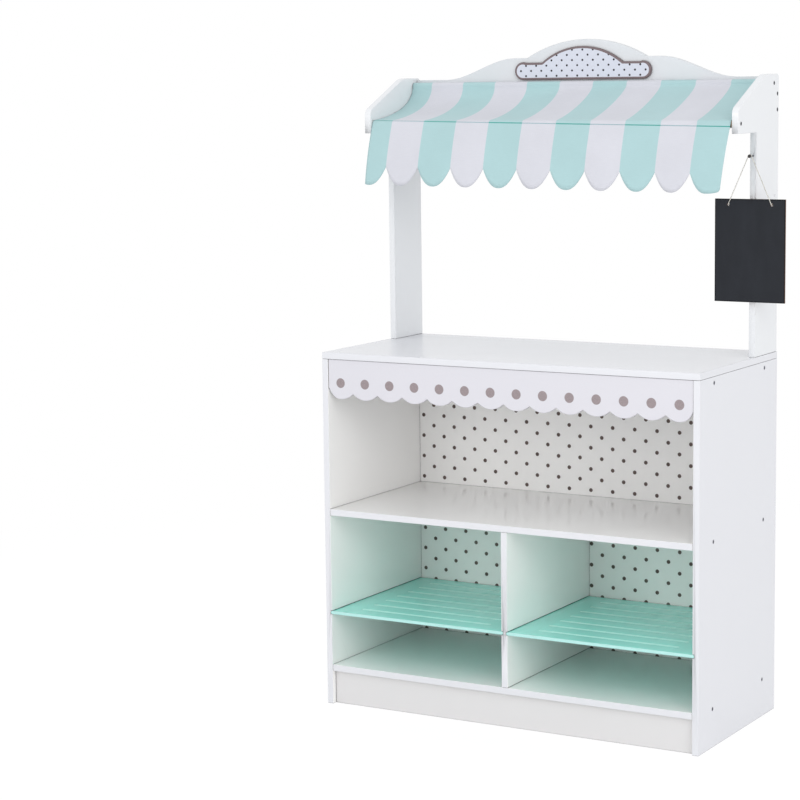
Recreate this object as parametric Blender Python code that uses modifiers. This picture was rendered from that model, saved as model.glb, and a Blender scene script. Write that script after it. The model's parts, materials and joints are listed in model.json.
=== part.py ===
"""Toy bakery stand: cabinet with sliding trays, striped awning on two dowels, hanging chalkboard.

Metres, +Z up. The stand faces -Y and its right side is +X. All pieces hang from one empty,
placed so that the origin lies on the floor, under the middle of the whole stand.
"""

import math

import bmesh
import bpy
from mathutils import Matrix, Vector

# Clearances
GAP = 0.0003
SLIDE_GAP = 0.0012

# Cabinet
WIDTH = 0.750
DEPTH = 0.350
BOARD = 0.012
COUNTER_HEIGHT = 0.662
SHELF_HEIGHT = 0.370
FLOOR_PANEL_HEIGHT = 0.075
PLINTH_SETBACK = 0.010
EDGE_ROUND = 0.0008
RAIL = 0.022
RAIL_INSET = 0.061

# Back panels
BACK_THICKNESS = 0.003
BACK_INSET = 0.012
BACK_TONGUE = 0.004

# Scalloped apron under the counter
APRON_THICKNESS = 0.009
APRON_SETBACK = 0.002
APRON_DROP = 0.0735
SCALLOP_PITCH = 0.0518
SCALLOP_RISE = 0.0100
SCALLOP_NOTCH = 0.002
APRON_CORNER_RISE = 0.020
SCALLOP_STEPS = 8

# Sliding trays
TRAY_THICKNESS = 0.006
TRAY_RISE = 0.096
TRAY_LAP = 0.003
TRAY_SIDE_PLAY = 0.001
TRAY_HEADROOM = 0.0012
TRAY_SETBACK = 0.001
COVES = 7
COVE_WIDTH = 0.009
COVE_DEPTH = 0.0018
COVE_SIDE_MARGIN = 0.045
COVE_EDGE_MARGIN = 0.0398

# Uprights, each with its wing. Rises count from the counter or the wing's foot, reaches from the post.
UPRIGHT_INSET = 0.001
UPRIGHT_DEPTH = 0.103
WING_RISE = 0.395
WING_HEIGHT = 0.101
WING_REACH = 0.084
WING_NOSE_RISE = 0.033
WING_TOP_LENGTH = 0.0515
NOSE_RADIUS = 0.015
BROW_RADIUS = 0.050
WING_CORNER = 0.006

# Header board between the wings: a level end, a rise, a level shoulder and a low arch
HEADER_FOOT_RISE = 0.009
HEADER_END_DROP = 0.004
HEADER_SHOULDER_RISE = 0.039
HEADER_ARCH_RISE = 0.033
HEADER_END = 0.067
HEADER_RISE_LENGTH = 0.145
HEADER_SHOULDER = 0.028
HEADER_STEPS = 10

# Sign plate
SIGN_THICKNESS = 0.0055
SIGN_SHIFT = -0.0057
SIGN_CLEARANCE = 0.0027
SIGN_HALF_LENGTH = 0.1397
SIGN_BULB = 0.0165
SIGN_WAIST = 0.0012
SIGN_ARCH_HALF = 0.083
SIGN_ARCH_RISE = 0.0294

# Awning and its dowels
DOWEL_RADIUS = 0.006
FRONT_DOWEL_SETBACK = 0.013
FRONT_DOWEL_RISE = 0.017
REAR_DOWEL_PLAY = 0.003
REAR_DOWEL_DROP = 0.016
CLOTH = 0.001
AWNING_LEFT_GAP = 0.001
AWNING_RIGHT_GAP = 0.0045
STRIPE_PITCH = 0.0682
END_STRIPE = 0.0424
SAG_DROP = 0.030
SAG_REACH = 0.092
SAG_TILT = 0.006
ARRIVAL_ANGLE = math.radians(106.7)
LEAVING_ANGLE = math.radians(166.0)
HEM_ANGLE = math.radians(-145.0)
VALANCE_BULGE = 0.004
VALANCE_FALL = 0.1153
VALANCE_TILT = 0.010
VALANCE_DRIFT = 0.007
VALANCE_DRIFT_START = 0.4
LOBE_DEPTH = 0.034
LOBE_POWER = 2.25
END_LOBE_SHARE = 0.6
LOBE_STEPS = 8
LOBE_CORNER = 0.008
POCKET_INSET = 0.001
HEM_STEPS = 14
CLOTH_COLUMNS = 6

# Chalkboard on its string and hook
HOOK_DROP = 0.0405
HOOK_REACH = 0.021
HOOK_SHANK = 0.0015
HOOK_HEAD = 0.003
HOOK_RIM = 0.001
HOOK_DEPTH = 0.015
STRING_RADIUS = 0.001
STRING_PLAY = 0.001
CHALK_WIDTH = 0.1315
CHALK_HEIGHT = 0.181
CHALK_THICKNESS = 0.0035
CHALK_HOLE_SPACING = 0.081
CHALK_HOLE_INSET = 0.010
CHALK_HOLE_RADIUS = 0.0026
STRING_DROP = 0.0845
STRING_BEND = 0.002
KNOT_RADIUS = 0.0032
KNOT_FLATNESS = 0.75

# Screws and wooden pins
SCREW_HEAD = 0.0035
SCREW_SHANK = 0.00175
SCREW_CONE = 0.0022
SCREW_SUNK = 0.0002
HOLE_RUN_OUT = 0.002
CABINET_SCREW = 0.040
WING_SCREW = 0.030
HEADER_SCREW_RISES = (0.0292, 0.0572)
PIN_RADIUS = 0.0025
PIN_SEAT = 0.007
PIN_LENGTH = 0.020
UPRIGHT_PIN_LENGTH = 0.034
UPRIGHT_PIN_INSET = 0.017
APRON_PIN_DROPS = (0.015, 0.038)
COUNTER_SCREW_INSET = 0.125
FASTENER_STEPS = 12

# Worked out from the sizes above
INSIDE = WIDTH / 2 - BOARD
FRONT = -DEPTH / 2
REAR = DEPTH / 2
COUNTER_UNDER = COUNTER_HEIGHT - BOARD
SHELF_UNDER = SHELF_HEIGHT - BOARD
FLOOR_PANEL_UNDER = FLOOR_PANEL_HEIGHT - BOARD
BACK_FRONT = REAR - BACK_INSET - BACK_THICKNESS
RAIL_OFFSET = REAR - RAIL_INSET
TRAY_UNDER = FLOOR_PANEL_HEIGHT + TRAY_RISE
TRAY_TOP = TRAY_UNDER + TRAY_THICKNESS
UPRIGHT_OUTER = WIDTH / 2 - UPRIGHT_INSET
UPRIGHT_INNER = UPRIGHT_OUTER - BOARD
UPRIGHT_REAR = REAR - UPRIGHT_INSET
UPRIGHT_FRONT = UPRIGHT_REAR - UPRIGHT_DEPTH
WING_BOTTOM = COUNTER_HEIGHT + WING_RISE
WING_TOP = WING_BOTTOM + WING_HEIGHT
WING_FRONT = UPRIGHT_FRONT - WING_REACH
HEADER_FRONT = UPRIGHT_REAR - BOARD
HEADER_BOTTOM = WING_BOTTOM + HEADER_FOOT_RISE
CLOTH_REACH = DOWEL_RADIUS + GAP + CLOTH / 2
CLOTH_OUTSIDE = DOWEL_RADIUS + GAP + CLOTH
FRONT_DOWEL = (WING_FRONT + FRONT_DOWEL_SETBACK, WING_BOTTOM + FRONT_DOWEL_RISE)
REAR_DOWEL = (HEADER_FRONT - REAR_DOWEL_PLAY - CLOTH_OUTSIDE, WING_TOP - REAR_DOWEL_DROP)
SIGN_BOTTOM = REAR_DOWEL[1] + CLOTH_OUTSIDE + SIGN_CLEARANCE
AWNING_LEFT = AWNING_LEFT_GAP - UPRIGHT_INNER
AWNING_RIGHT = UPRIGHT_INNER - AWNING_RIGHT_GAP
FIRST_STRIPE_EDGE = AWNING_LEFT + END_STRIPE
STRIPES = 1 + math.ceil((AWNING_RIGHT - FIRST_STRIPE_EDGE) / STRIPE_PITCH)
VALANCE_BOTTOM = FRONT_DOWEL[1] - VALANCE_FALL
HOOK_X = UPRIGHT_OUTER - BOARD / 2
HOOK_HEIGHT = WING_BOTTOM - HOOK_DROP
STRING_Y = UPRIGHT_FRONT - HOOK_REACH + HOOK_HEAD + HOOK_RIM + STRING_PLAY + STRING_RADIUS
CHALK_FRONT = STRING_Y + STRING_RADIUS + GAP
CHALK_MIDDLE = CHALK_FRONT + CHALK_THICKNESS / 2
CHALK_RIGHT = HOOK_X + CHALK_WIDTH / 2
CENTRE_SHIFT = -(max(WIDTH / 2, CHALK_RIGHT) - WIDTH / 2) / 2

# Colours, roughness and metallic values
WHITE_PAINT = ((0.78, 0.78, 0.81), 0.42, 0.0)
MINT_GLOSS = ((0.22, 0.56, 0.48), 0.15, 0.0)
MINT_CLOTH = ((0.42, 0.74, 0.72), 0.9, 0.0)
BEECH = ((0.62, 0.45, 0.28), 0.55, 0.0)
DARK_STEEL = ((0.09, 0.09, 0.10), 0.35, 1.0)
SLATE = ((0.035, 0.037, 0.045), 0.6, 0.0)
CREAM_STRING = ((0.72, 0.68, 0.58), 0.85, 0.0)

# Which way a turned piece points: its own +Z becomes this axis
TO_RIGHT = Matrix.Rotation(math.radians(90), 4, "Y")
TO_LEFT = Matrix.Rotation(math.radians(-90), 4, "Y")
TO_FRONT = Matrix.Rotation(math.radians(90), 4, "X")
DOWNWARDS = Matrix.Rotation(math.radians(180), 4, "X")


def clear_scene():
    for obj in list(bpy.data.objects):
        bpy.data.objects.remove(obj, do_unlink=True)


def new_collection(name):
    made = bpy.data.collections.new(name)
    bpy.context.scene.collection.children.link(made)
    return made


def new_empty(name, parent, place):
    empty = bpy.data.objects.new(name, None)
    empty.parent = parent
    empty.location = place
    parts.objects.link(empty)
    return empty


def finish(obj, look):
    """Gives the object its own material. Copies that share a mesh share one."""
    if obj.data.materials:
        return
    colour, roughness, metallic = look
    material = bpy.data.materials.new(obj.name + "_finish")
    material.use_nodes = True
    shader = material.node_tree.nodes["Principled BSDF"]
    shader.inputs["Base Color"].default_value = (*colour, 1.0)
    shader.inputs["Roughness"].default_value = roughness
    shader.inputs["Metallic"].default_value = metallic
    obj.data.materials.append(material)


def add_part(name, mesh, look, parent=None, place=(0, 0, 0)):
    obj = bpy.data.objects.new(name, mesh)
    obj.parent = parent or stand
    obj.location = place
    parts.objects.link(obj)
    finish(obj, look)
    return obj


def add_cutter(name, mesh, parent=None, place=(0, 0, 0)):
    obj = bpy.data.objects.new(name, mesh)
    obj.parent = parent or stand
    obj.location = place
    obj.hide_render = True
    obj.display_type = "WIRE"
    cutters.objects.link(obj)
    return obj


def box_mesh(name, size):
    bm = bmesh.new()
    bmesh.ops.create_cube(bm, size=1.0)
    bmesh.ops.scale(bm, vec=size, verts=bm.verts)
    mesh = bpy.data.meshes.new(name)
    bm.to_mesh(mesh)
    bm.free()
    return mesh


def box_between(low, high):
    """Size and centre of the box with these two corners."""
    low, high = Vector(low), Vector(high)
    return high - low, (low + high) / 2


def add_board(name, low, high, look, edge=EDGE_ROUND):
    """A flat board between two corners, with softly rounded edges."""
    size, centre = box_between(low, high)
    board = add_part(name, box_mesh(name, size), look, place=centre)
    rounding = board.modifiers.new("edges", "BEVEL")
    rounding.width = edge
    rounding.segments = 2
    return board


def add_box_cutter(name, low, high):
    size, centre = box_between(low, high)
    return add_cutter(name, box_mesh(name, size), place=centre)


def cut(obj, *tools):
    for tool in tools:
        step = obj.modifiers.new(tool.name, "BOOLEAN")
        step.operation = "DIFFERENCE"
        step.object = tool


def unite(obj, other):
    step = obj.modifiers.new(other.name, "BOOLEAN")
    step.operation = "UNION"
    step.object = other


def evaluated_mesh(obj):
    """The object's final mesh, welded, with the object itself removed."""
    obj_data = obj.data
    graph = bpy.context.evaluated_depsgraph_get()
    graph.update()
    mesh = bpy.data.meshes.new_from_object(obj.evaluated_get(graph))
    bm = bmesh.new()
    bm.from_mesh(mesh)
    bmesh.ops.remove_doubles(bm, verts=bm.verts, dist=0.00001)
    bmesh.ops.recalc_face_normals(bm, faces=bm.faces)
    bm.to_mesh(mesh)
    bm.free()
    bpy.data.objects.remove(obj)
    if isinstance(obj_data, bpy.types.Curve):
        bpy.data.curves.remove(obj_data)
    mesh.materials.clear()
    return mesh


def turned_mesh(name, profile, steps=FASTENER_STEPS):
    """Revolves a profile of (radius, height) points about Z. The profile runs down its outer side."""
    mesh = bpy.data.meshes.new(name)
    edges = [(i, i + 1) for i in range(len(profile) - 1)]
    mesh.from_pydata([(radius, 0, height) for radius, height in profile], edges, [])
    lathe = bpy.data.objects.new(name, mesh)
    bpy.context.scene.collection.objects.link(lathe)
    turn = lathe.modifiers.new("turn", "SCREW")
    turn.steps = steps
    turn.render_steps = steps
    turn.use_merge_vertices = True
    turn.merge_threshold = 0.00001
    return evaluated_mesh(lathe)


def outline_mesh(name, points, thickness, edge=EDGE_ROUND):
    """A flat board from a closed outline, lying in XY and centred on its thickness."""
    curve = bpy.data.curves.new(name, "CURVE")
    curve.dimensions = "2D"
    curve.fill_mode = "NONE"
    curve.extrude = thickness / 2
    spline = curve.splines.new("POLY")
    spline.points.add(len(points) - 1)
    for point, (across, up) in zip(spline.points, points):
        point.co = (across, up, 0, 1)
    spline.use_cyclic_u = True
    sheet = bpy.data.objects.new(name, curve)
    bpy.context.scene.collection.objects.link(sheet)
    mesh = evaluated_mesh(sheet)
    bm = bmesh.new()
    bm.from_mesh(mesh)
    rims = [rim for rim in bm.edges if rim.is_boundary]
    bmesh.ops.holes_fill(bm, edges=rims, sides=0)
    bmesh.ops.recalc_face_normals(bm, faces=bm.faces)
    if edge:
        bmesh.ops.bevel(
            bm, geom=rims, offset=edge, segments=1, profile=0.5, affect="EDGES", material=-1
        )
    bm.to_mesh(mesh)
    bm.free()
    return mesh


def upright_plane(mesh, facing):
    """Stands a flat outline up. Facing FRONT keeps its X as X, facing SIDE turns its X into Y."""
    mesh.transform(Matrix.Rotation(math.radians(90), 4, "X"))
    if facing == "SIDE":
        mesh.transform(Matrix.Rotation(math.radians(90), 4, "Z"))
    return mesh


def arc(centre, radius, start, end, steps):
    """Points round an arc, both ends included. Angles are in degrees, anticlockwise."""
    points = []
    for i in range(steps + 1):
        angle = math.radians(start + (end - start) * i / steps)
        points.append((centre[0] + radius * math.cos(angle), centre[1] + radius * math.sin(angle)))
    return points


def copies_mesh(name, mesh, places):
    """One mesh that holds a separate copy at each place."""
    bm = bmesh.new()
    for place in places:
        copy = mesh.copy()
        copy.transform(place)
        bm.from_mesh(copy)
        bpy.data.meshes.remove(copy)
    made = bpy.data.meshes.new(name)
    bm.to_mesh(made)
    bm.free()
    return made


def add_fasteners(name, profile_of, places, look):
    """Like fasteners, one object each, that share a mesh. Returns the cutter that makes their holes."""
    solid = turned_mesh(name, profile_of(0.0))
    solid.shade_smooth()
    solid.set_sharp_from_angle(angle=math.radians(40))
    for i, place in enumerate(places, start=1):
        fastener = add_part(f"{name}_{i}", solid, look)
        fastener.matrix_local = place
    hole = turned_mesh(name + "_hole", profile_of(GAP))
    return add_cutter(name + "_holes", copies_mesh(name + "_holes", hole, places))


def screw_profile(length, clearance):
    """A countersunk screw with its head at the top, at Z = 0. A hole runs on past the face."""
    top = HOLE_RUN_OUT if clearance else 0.0
    head = SCREW_HEAD + clearance
    shank = SCREW_SHANK + clearance
    rim = -SCREW_CONE / 4
    return [
        (0, top),
        (head, top),
        (head, rim - clearance),
        (shank, -SCREW_CONE - clearance),
        (shank, -length - clearance),
        (0, -length - clearance),
    ]


def pin_profile(length, clearance):
    radius = PIN_RADIUS + clearance
    reach = length / 2 + clearance
    return [(0, reach), (radius, reach), (radius, -reach), (0, -reach)]


def make_side_panels():
    """The two sides stand on the floor and carry everything. Each has a tray groove and a back groove."""
    made = {}
    for side, sign in (("left", -1), ("right", 1)):
        inner, outer = sorted((sign * INSIDE, sign * WIDTH / 2))
        panel = add_board(
            side + "_side_panel",
            (inner, FRONT, 0),
            (outer, REAR, COUNTER_UNDER - GAP),
            WHITE_PAINT,
        )
        cut(panel, groove_cutter(side + "_side_panel", sign * INSIDE, sign))
        depth = sign * (INSIDE + BACK_TONGUE)
        low, high = sorted((sign * (INSIDE - BOARD), depth))
        back_groove = add_box_cutter(
            side + "_back_groove",
            (low, BACK_FRONT - GAP, FLOOR_PANEL_HEIGHT - BACK_TONGUE),
            (high, BACK_FRONT + BACK_THICKNESS + GAP, COUNTER_HEIGHT),
        )
        cut(panel, back_groove)
        made[side] = panel
    return made


def groove_cutter(name, face, sign):
    """The groove for a tray's edge, open at the front, in a face that looks towards -sign."""
    low, high = sorted((face - sign * BOARD, face + sign * (TRAY_LAP + TRAY_SIDE_PLAY)))
    return add_box_cutter(
        f"{name}_tray_groove_{'right' if sign > 0 else 'left'}",
        (low, FRONT - BOARD, TRAY_UNDER - GAP),
        (high, BACK_FRONT + BACK_THICKNESS / 2, TRAY_TOP + TRAY_HEADROOM),
    )


def make_flat_boards():
    """Counter, middle shelf, floor panel, divider, plinth and the two rails under the counter."""
    wide = INSIDE - GAP
    tongue_low = BACK_FRONT - GAP
    tongue_high = BACK_FRONT + BACK_THICKNESS + GAP
    groove = INSIDE + BACK_TONGUE
    counter = add_board(
        "counter_top",
        (-WIDTH / 2, FRONT, COUNTER_UNDER),
        (WIDTH / 2, REAR, COUNTER_HEIGHT),
        WHITE_PAINT,
    )
    counter_groove = add_box_cutter(
        "counter_back_groove",
        (-groove, tongue_low, COUNTER_UNDER - BOARD),
        (groove, tongue_high, COUNTER_UNDER + BACK_TONGUE),
    )
    cut(counter, counter_groove)
    shelf = add_board(
        "middle_shelf", (-wide, FRONT, SHELF_UNDER), (wide, REAR, SHELF_HEIGHT), WHITE_PAINT
    )
    shelf_over = add_box_cutter(
        "shelf_groove_over",
        (-WIDTH, tongue_low, SHELF_HEIGHT - BACK_TONGUE),
        (WIDTH, tongue_high, SHELF_HEIGHT + BOARD),
    )
    shelf_under = add_box_cutter(
        "shelf_groove_under",
        (-WIDTH, tongue_low, SHELF_UNDER - BOARD),
        (WIDTH, tongue_high, SHELF_UNDER + BACK_TONGUE),
    )
    cut(shelf, shelf_over, shelf_under)
    floor_panel = add_board(
        "bottom_panel",
        (-wide, FRONT, FLOOR_PANEL_UNDER),
        (wide, REAR, FLOOR_PANEL_HEIGHT),
        WHITE_PAINT,
    )
    floor_groove = add_box_cutter(
        "bottom_groove",
        (-WIDTH, tongue_low, FLOOR_PANEL_HEIGHT - BACK_TONGUE),
        (WIDTH, tongue_high, FLOOR_PANEL_HEIGHT + BOARD),
    )
    cut(floor_panel, floor_groove)
    divider = add_board(
        "centre_divider",
        (-BOARD / 2, FRONT, FLOOR_PANEL_HEIGHT + GAP),
        (BOARD / 2, BACK_FRONT - GAP, SHELF_UNDER - GAP),
        WHITE_PAINT,
    )
    cut(divider, groove_cutter("divider", -BOARD / 2, 1))
    cut(divider, groove_cutter("divider", BOARD / 2, -1))
    add_board(
        "plinth",
        (-wide, FRONT + PLINTH_SETBACK, 0),
        (wide, FRONT + PLINTH_SETBACK + BOARD, FLOOR_PANEL_UNDER - GAP),
        WHITE_PAINT,
    )
    rails = []
    for where, middle in (("front", -RAIL_OFFSET), ("rear", RAIL_OFFSET)):
        rail = add_board(
            where + "_top_rail",
            (-wide, middle - RAIL / 2, COUNTER_UNDER - RAIL),
            (wide, middle + RAIL / 2, COUNTER_UNDER - GAP),
            WHITE_PAINT,
        )
        rails.append(rail)
    return counter, shelf, floor_panel, rails


def make_back_panels():
    """Thin panels held in grooves all round."""
    wide = INSIDE + BACK_TONGUE - GAP
    spans = (
        ("upper_back_panel", SHELF_HEIGHT, COUNTER_UNDER),
        ("lower_back_panel", FLOOR_PANEL_HEIGHT, SHELF_UNDER),
    )
    for name, below, above in spans:
        add_board(
            name,
            (-wide, BACK_FRONT, below - BACK_TONGUE + GAP),
            (wide, BACK_FRONT + BACK_THICKNESS, above + BACK_TONGUE - GAP),
            WHITE_PAINT,
            edge=BACK_THICKNESS / 10,
        )


def apron_outline():
    """Straight on three sides, scalloped below, with the outer corners swept up."""
    half = INSIDE - GAP
    top = COUNTER_UNDER - GAP
    bottom = COUNTER_UNDER - APRON_DROP
    scallops = round(2 * half / SCALLOP_PITCH)
    pitch = 2 * half / scallops
    reach = (pitch - SCALLOP_NOTCH) / 2
    radius = (reach**2 + SCALLOP_RISE**2) / (2 * SCALLOP_RISE)
    sweep = math.degrees(math.asin(reach / radius))
    points = [(-half, bottom + SCALLOP_RISE)]
    for i in range(scallops):
        centre = (-half + pitch * (i + 0.5), bottom + radius)
        points += arc(centre, radius, 270 - sweep, 270 + sweep, SCALLOP_STEPS)
    points.append((half, bottom + SCALLOP_RISE))
    lower = [(across, up + corner_rise(across, half, pitch)) for across, up in points]
    return [(-half, top)] + lower + [(half, top)]


def corner_rise(across, half, pitch):
    """Lifts the outer half of each end scallop into a rounder corner."""
    beyond = (abs(across) - (half - pitch / 2)) / (pitch / 2)
    if beyond <= 0:
        return 0
    return (APRON_CORNER_RISE - SCALLOP_RISE) * beyond**3


def make_apron():
    mesh = outline_mesh("scalloped_apron", apron_outline(), APRON_THICKNESS)
    middle = FRONT + APRON_SETBACK + APRON_THICKNESS / 2
    return add_part(
        "scalloped_apron", upright_plane(mesh, "FRONT"), WHITE_PAINT, place=(0, middle, 0)
    )


def cove_mesh():
    """A long cove cutter with round ends, lying along X, half of it above the tray."""
    radius = ((COVE_WIDTH / 2) ** 2 + COVE_DEPTH**2) / (2 * COVE_DEPTH)
    tray_length = INSIDE - BOARD / 2 + 2 * TRAY_LAP
    stretch = tray_length / 2 - COVE_SIDE_MARGIN - COVE_WIDTH / 2
    bm = bmesh.new()
    bmesh.ops.create_uvsphere(bm, u_segments=16, v_segments=9, radius=radius)
    bmesh.ops.rotate(bm, verts=bm.verts, matrix=TO_RIGHT.to_3x3(), cent=(0, 0, 0))
    for vert in bm.verts:
        vert.co.x += math.copysign(stretch, vert.co.x)
        vert.co.z += radius - COVE_DEPTH
    mesh = bpy.data.meshes.new("cove")
    bm.to_mesh(mesh)
    bm.free()
    return mesh


def make_trays():
    """Two trays that slide in the grooves, each with seven coves to lay bread in."""
    cove = cove_mesh()
    back = BACK_FRONT - SLIDE_GAP
    front = FRONT + TRAY_SETBACK
    pitch = (back - front - 2 * COVE_EDGE_MARGIN) / (COVES - 1)
    for side, sign in (("left", -1), ("right", 1)):
        ends = sorted((sign * (BOARD / 2 - TRAY_LAP), sign * (INSIDE + TRAY_LAP)))
        tray = add_board(
            side + "_tray",
            (ends[0], front, TRAY_UNDER),
            (ends[1], back, TRAY_TOP),
            MINT_GLOSS,
            edge=TRAY_THICKNESS / 5,
        )
        places = []
        for i in range(COVES):
            along = front + COVE_EDGE_MARGIN + pitch * i
            places.append(Matrix.Translation((sum(ends) / 2, along, TRAY_TOP)))
        name = side + "_tray_coves"
        cut(tray, add_cutter(name, copies_mesh(name, cove, places)))


def upright_outline():
    """Post and wing as one flag-shaped board, in (Y, Z). One straight slope joins nose and brow."""
    foot = COUNTER_HEIGHT + GAP
    rear_corner = (UPRIGHT_REAR - WING_CORNER, WING_TOP - WING_CORNER)
    nose = Vector((WING_FRONT + NOSE_RADIUS, WING_BOTTOM + WING_NOSE_RISE))
    brow = Vector((UPRIGHT_REAR - WING_TOP_LENGTH, WING_TOP - BROW_RADIUS))
    between = brow - nose
    turn = math.acos((NOSE_RADIUS - BROW_RADIUS) / between.length)
    square = math.degrees(math.atan2(between.y, between.x) + turn)
    points = [(UPRIGHT_REAR, foot)]
    points += arc(rear_corner, WING_CORNER, 0, 90, 4)
    points += arc(brow, BROW_RADIUS, 90, square, 4)
    points += arc(nose, NOSE_RADIUS, square, 180, 6)
    points += [(WING_FRONT, WING_BOTTOM), (UPRIGHT_FRONT, WING_BOTTOM), (UPRIGHT_FRONT, foot)]
    return points


def make_uprights():
    made = {}
    for side, sign in (("left", -1), ("right", 1)):
        name = side + "_upright"
        mesh = upright_plane(outline_mesh(name, upright_outline(), BOARD), "SIDE")
        middle = sign * (UPRIGHT_INNER + UPRIGHT_OUTER) / 2
        made[side] = add_part(name, mesh, WHITE_PAINT, place=(middle, 0, 0))
    return made


def header_half():
    """The right half of the header's top edge, from the side to the peak."""
    end_top = WING_TOP - HEADER_END_DROP
    rise_start = UPRIGHT_INNER - HEADER_END
    points = [(UPRIGHT_INNER - GAP, end_top)]
    for i in range(HEADER_STEPS + 1):
        t = i / HEADER_STEPS
        ease = t * t * (3 - 2 * t)
        points.append((rise_start - HEADER_RISE_LENGTH * t, end_top + HEADER_SHOULDER_RISE * ease))
    arch_half = rise_start - HEADER_RISE_LENGTH - HEADER_SHOULDER
    radius = (arch_half**2 + HEADER_ARCH_RISE**2) / (2 * HEADER_ARCH_RISE)
    arch_middle = (0, end_top + HEADER_SHOULDER_RISE + HEADER_ARCH_RISE - radius)
    spread = math.degrees(math.asin(arch_half / radius))
    return points + arc(arch_middle, radius, 90 - spread, 90, HEADER_STEPS)


def make_header():
    half = header_half()
    mirrored = [(-across, up) for across, up in reversed(half[:-1])]
    wide = UPRIGHT_INNER - GAP
    points = [(wide, HEADER_BOTTOM)] + half + mirrored + [(-wide, HEADER_BOTTOM)]
    mesh = upright_plane(outline_mesh("header_board", points, BOARD), "FRONT")
    return add_part(
        "header_board", mesh, WHITE_PAINT, place=(0, HEADER_FRONT + BOARD / 2, 0)
    )


def sign_outline():
    """A bone-shaped plate: round ends, straight arms and a low arch in the middle."""
    end = SIGN_HALF_LENGTH - SIGN_BULB
    centre = SIGN_BOTTOM + SIGN_BULB
    arm = centre + SIGN_BULB - SIGN_WAIST
    meet = math.degrees(math.acos((arm - centre) / SIGN_BULB))
    right = arc((end, centre), SIGN_BULB, -90, 90 + meet, 12)
    radius = (SIGN_ARCH_HALF**2 + SIGN_ARCH_RISE**2) / (2 * SIGN_ARCH_RISE)
    spread = math.degrees(math.asin(SIGN_ARCH_HALF / radius))
    arch_centre = (0, arm + SIGN_ARCH_RISE - radius)
    arch = arc(arch_centre, radius, 90 - spread, 90 + spread, 16)
    left = [(-across, up) for across, up in reversed(right)]
    return right + arch + left


def make_sign():
    mesh = upright_plane(outline_mesh("sign_plate", sign_outline(), SIGN_THICKNESS), "FRONT")
    middle = HEADER_FRONT - GAP - SIGN_THICKNESS / 2
    return add_part("sign_plate", mesh, WHITE_PAINT, place=(SIGN_SHIFT, middle, 0))


def make_dowels():
    """The two round bars that carry the awning, between the uprights."""
    made = {}
    length = 2 * (UPRIGHT_INNER - GAP)
    for where, (along, up) in (("front", FRONT_DOWEL), ("rear", REAR_DOWEL)):
        bm = bmesh.new()
        bmesh.ops.create_cone(
            bm,
            cap_ends=True,
            segments=24,
            radius1=DOWEL_RADIUS,
            radius2=DOWEL_RADIUS,
            depth=length,
            matrix=TO_RIGHT,
        )
        mesh = bpy.data.meshes.new(where + "_awning_dowel")
        bm.to_mesh(mesh)
        bm.free()
        mesh.shade_smooth()
        mesh.set_sharp_from_angle(angle=math.radians(40))
        made[where] = add_part(where + "_awning_dowel", mesh, BEECH, place=(0, along, up))
    return made


def round_dowel(dowel, angle):
    """A point of the cloth's middle layer where it lies on a dowel, in (Y, Z)."""
    outwards = Vector((math.cos(angle), math.sin(angle)))
    return Vector(dowel) + CLOTH_REACH * outwards


def canopy_path(across):
    """The cloth's middle layer from the rear hem to the front dowel, in (Y, Z), at this X."""
    turn = (math.pi - HEM_ANGLE) / HEM_STEPS
    points = [round_dowel(REAR_DOWEL, HEM_ANGLE + turn * i) for i in range(HEM_STEPS + 1)]
    start = points[-1]
    end = round_dowel(FRONT_DOWEL, ARRIVAL_ANGLE)
    along = Vector((math.sin(ARRIVAL_ANGLE), -math.cos(ARRIVAL_ANGLE)))
    first = start - Vector((0, SAG_DROP))
    second = end + along * SAG_REACH
    steps = 12
    for i in range(1, steps):
        t = i / steps
        s = 1 - t
        point = s**3 * start + 3 * s * s * t * first + 3 * s * t * t * second + t**3 * end
        sag = SAG_TILT * across / AWNING_RIGHT * math.sin(math.pi * t) ** 2
        points.append(point + Vector((0, sag)))
    points.append(end)
    return points


def sheet_mesh(name, path_of, inset=0.0):
    """An open cloth sheet, its path in (Y, Z) repeated along X."""
    bm = bmesh.new()
    rows = []
    start, end = AWNING_LEFT + inset, AWNING_RIGHT - inset
    for i in range(CLOTH_COLUMNS + 1):
        across = start + (end - start) * i / CLOTH_COLUMNS
        path = path_of(across)
        rows.append([bm.verts.new((across - drift(across, up), along, up)) for along, up in path])
    for near, far in zip(rows, rows[1:]):
        for j in range(len(near) - 1):
            bm.faces.new((near[j], far[j], far[j + 1], near[j + 1]))
    mesh = bpy.data.meshes.new(name)
    bm.to_mesh(mesh)
    bm.free()
    return mesh


def thicken(obj):
    wall = obj.modifiers.new("cloth", "SOLIDIFY")
    wall.thickness = CLOTH
    wall.offset = 0
    wall.use_even_offset = True


def valance_path():
    """The cloth's middle layer from the front dowel down past its lobes, in (Y, Z)."""
    turn = LEAVING_ANGLE - ARRIVAL_ANGLE
    points = [round_dowel(FRONT_DOWEL, ARRIVAL_ANGLE + turn * i / 4) for i in range(1, 5)]
    leave = points[-1]
    fall = leave.y - VALANCE_BOTTOM + LOBE_CORNER
    steps = 6
    for i in range(1, steps + 1):
        t = i / steps
        forward = fall * t * math.tan(math.pi - LEAVING_ANGLE) + VALANCE_BULGE * math.sin(math.pi * t)
        points.append(leave - Vector((forward, fall * t)))
    return points


def drift(across, up):
    """How far the valance's right end is drawn in towards the middle."""
    hanging = (FRONT_DOWEL[1] - up) / VALANCE_FALL
    outer = (across / AWNING_RIGHT - VALANCE_DRIFT_START) / (1 - VALANCE_DRIFT_START)
    return VALANCE_DRIFT * max(hanging, 0) * max(outer, 0) ** 2


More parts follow.
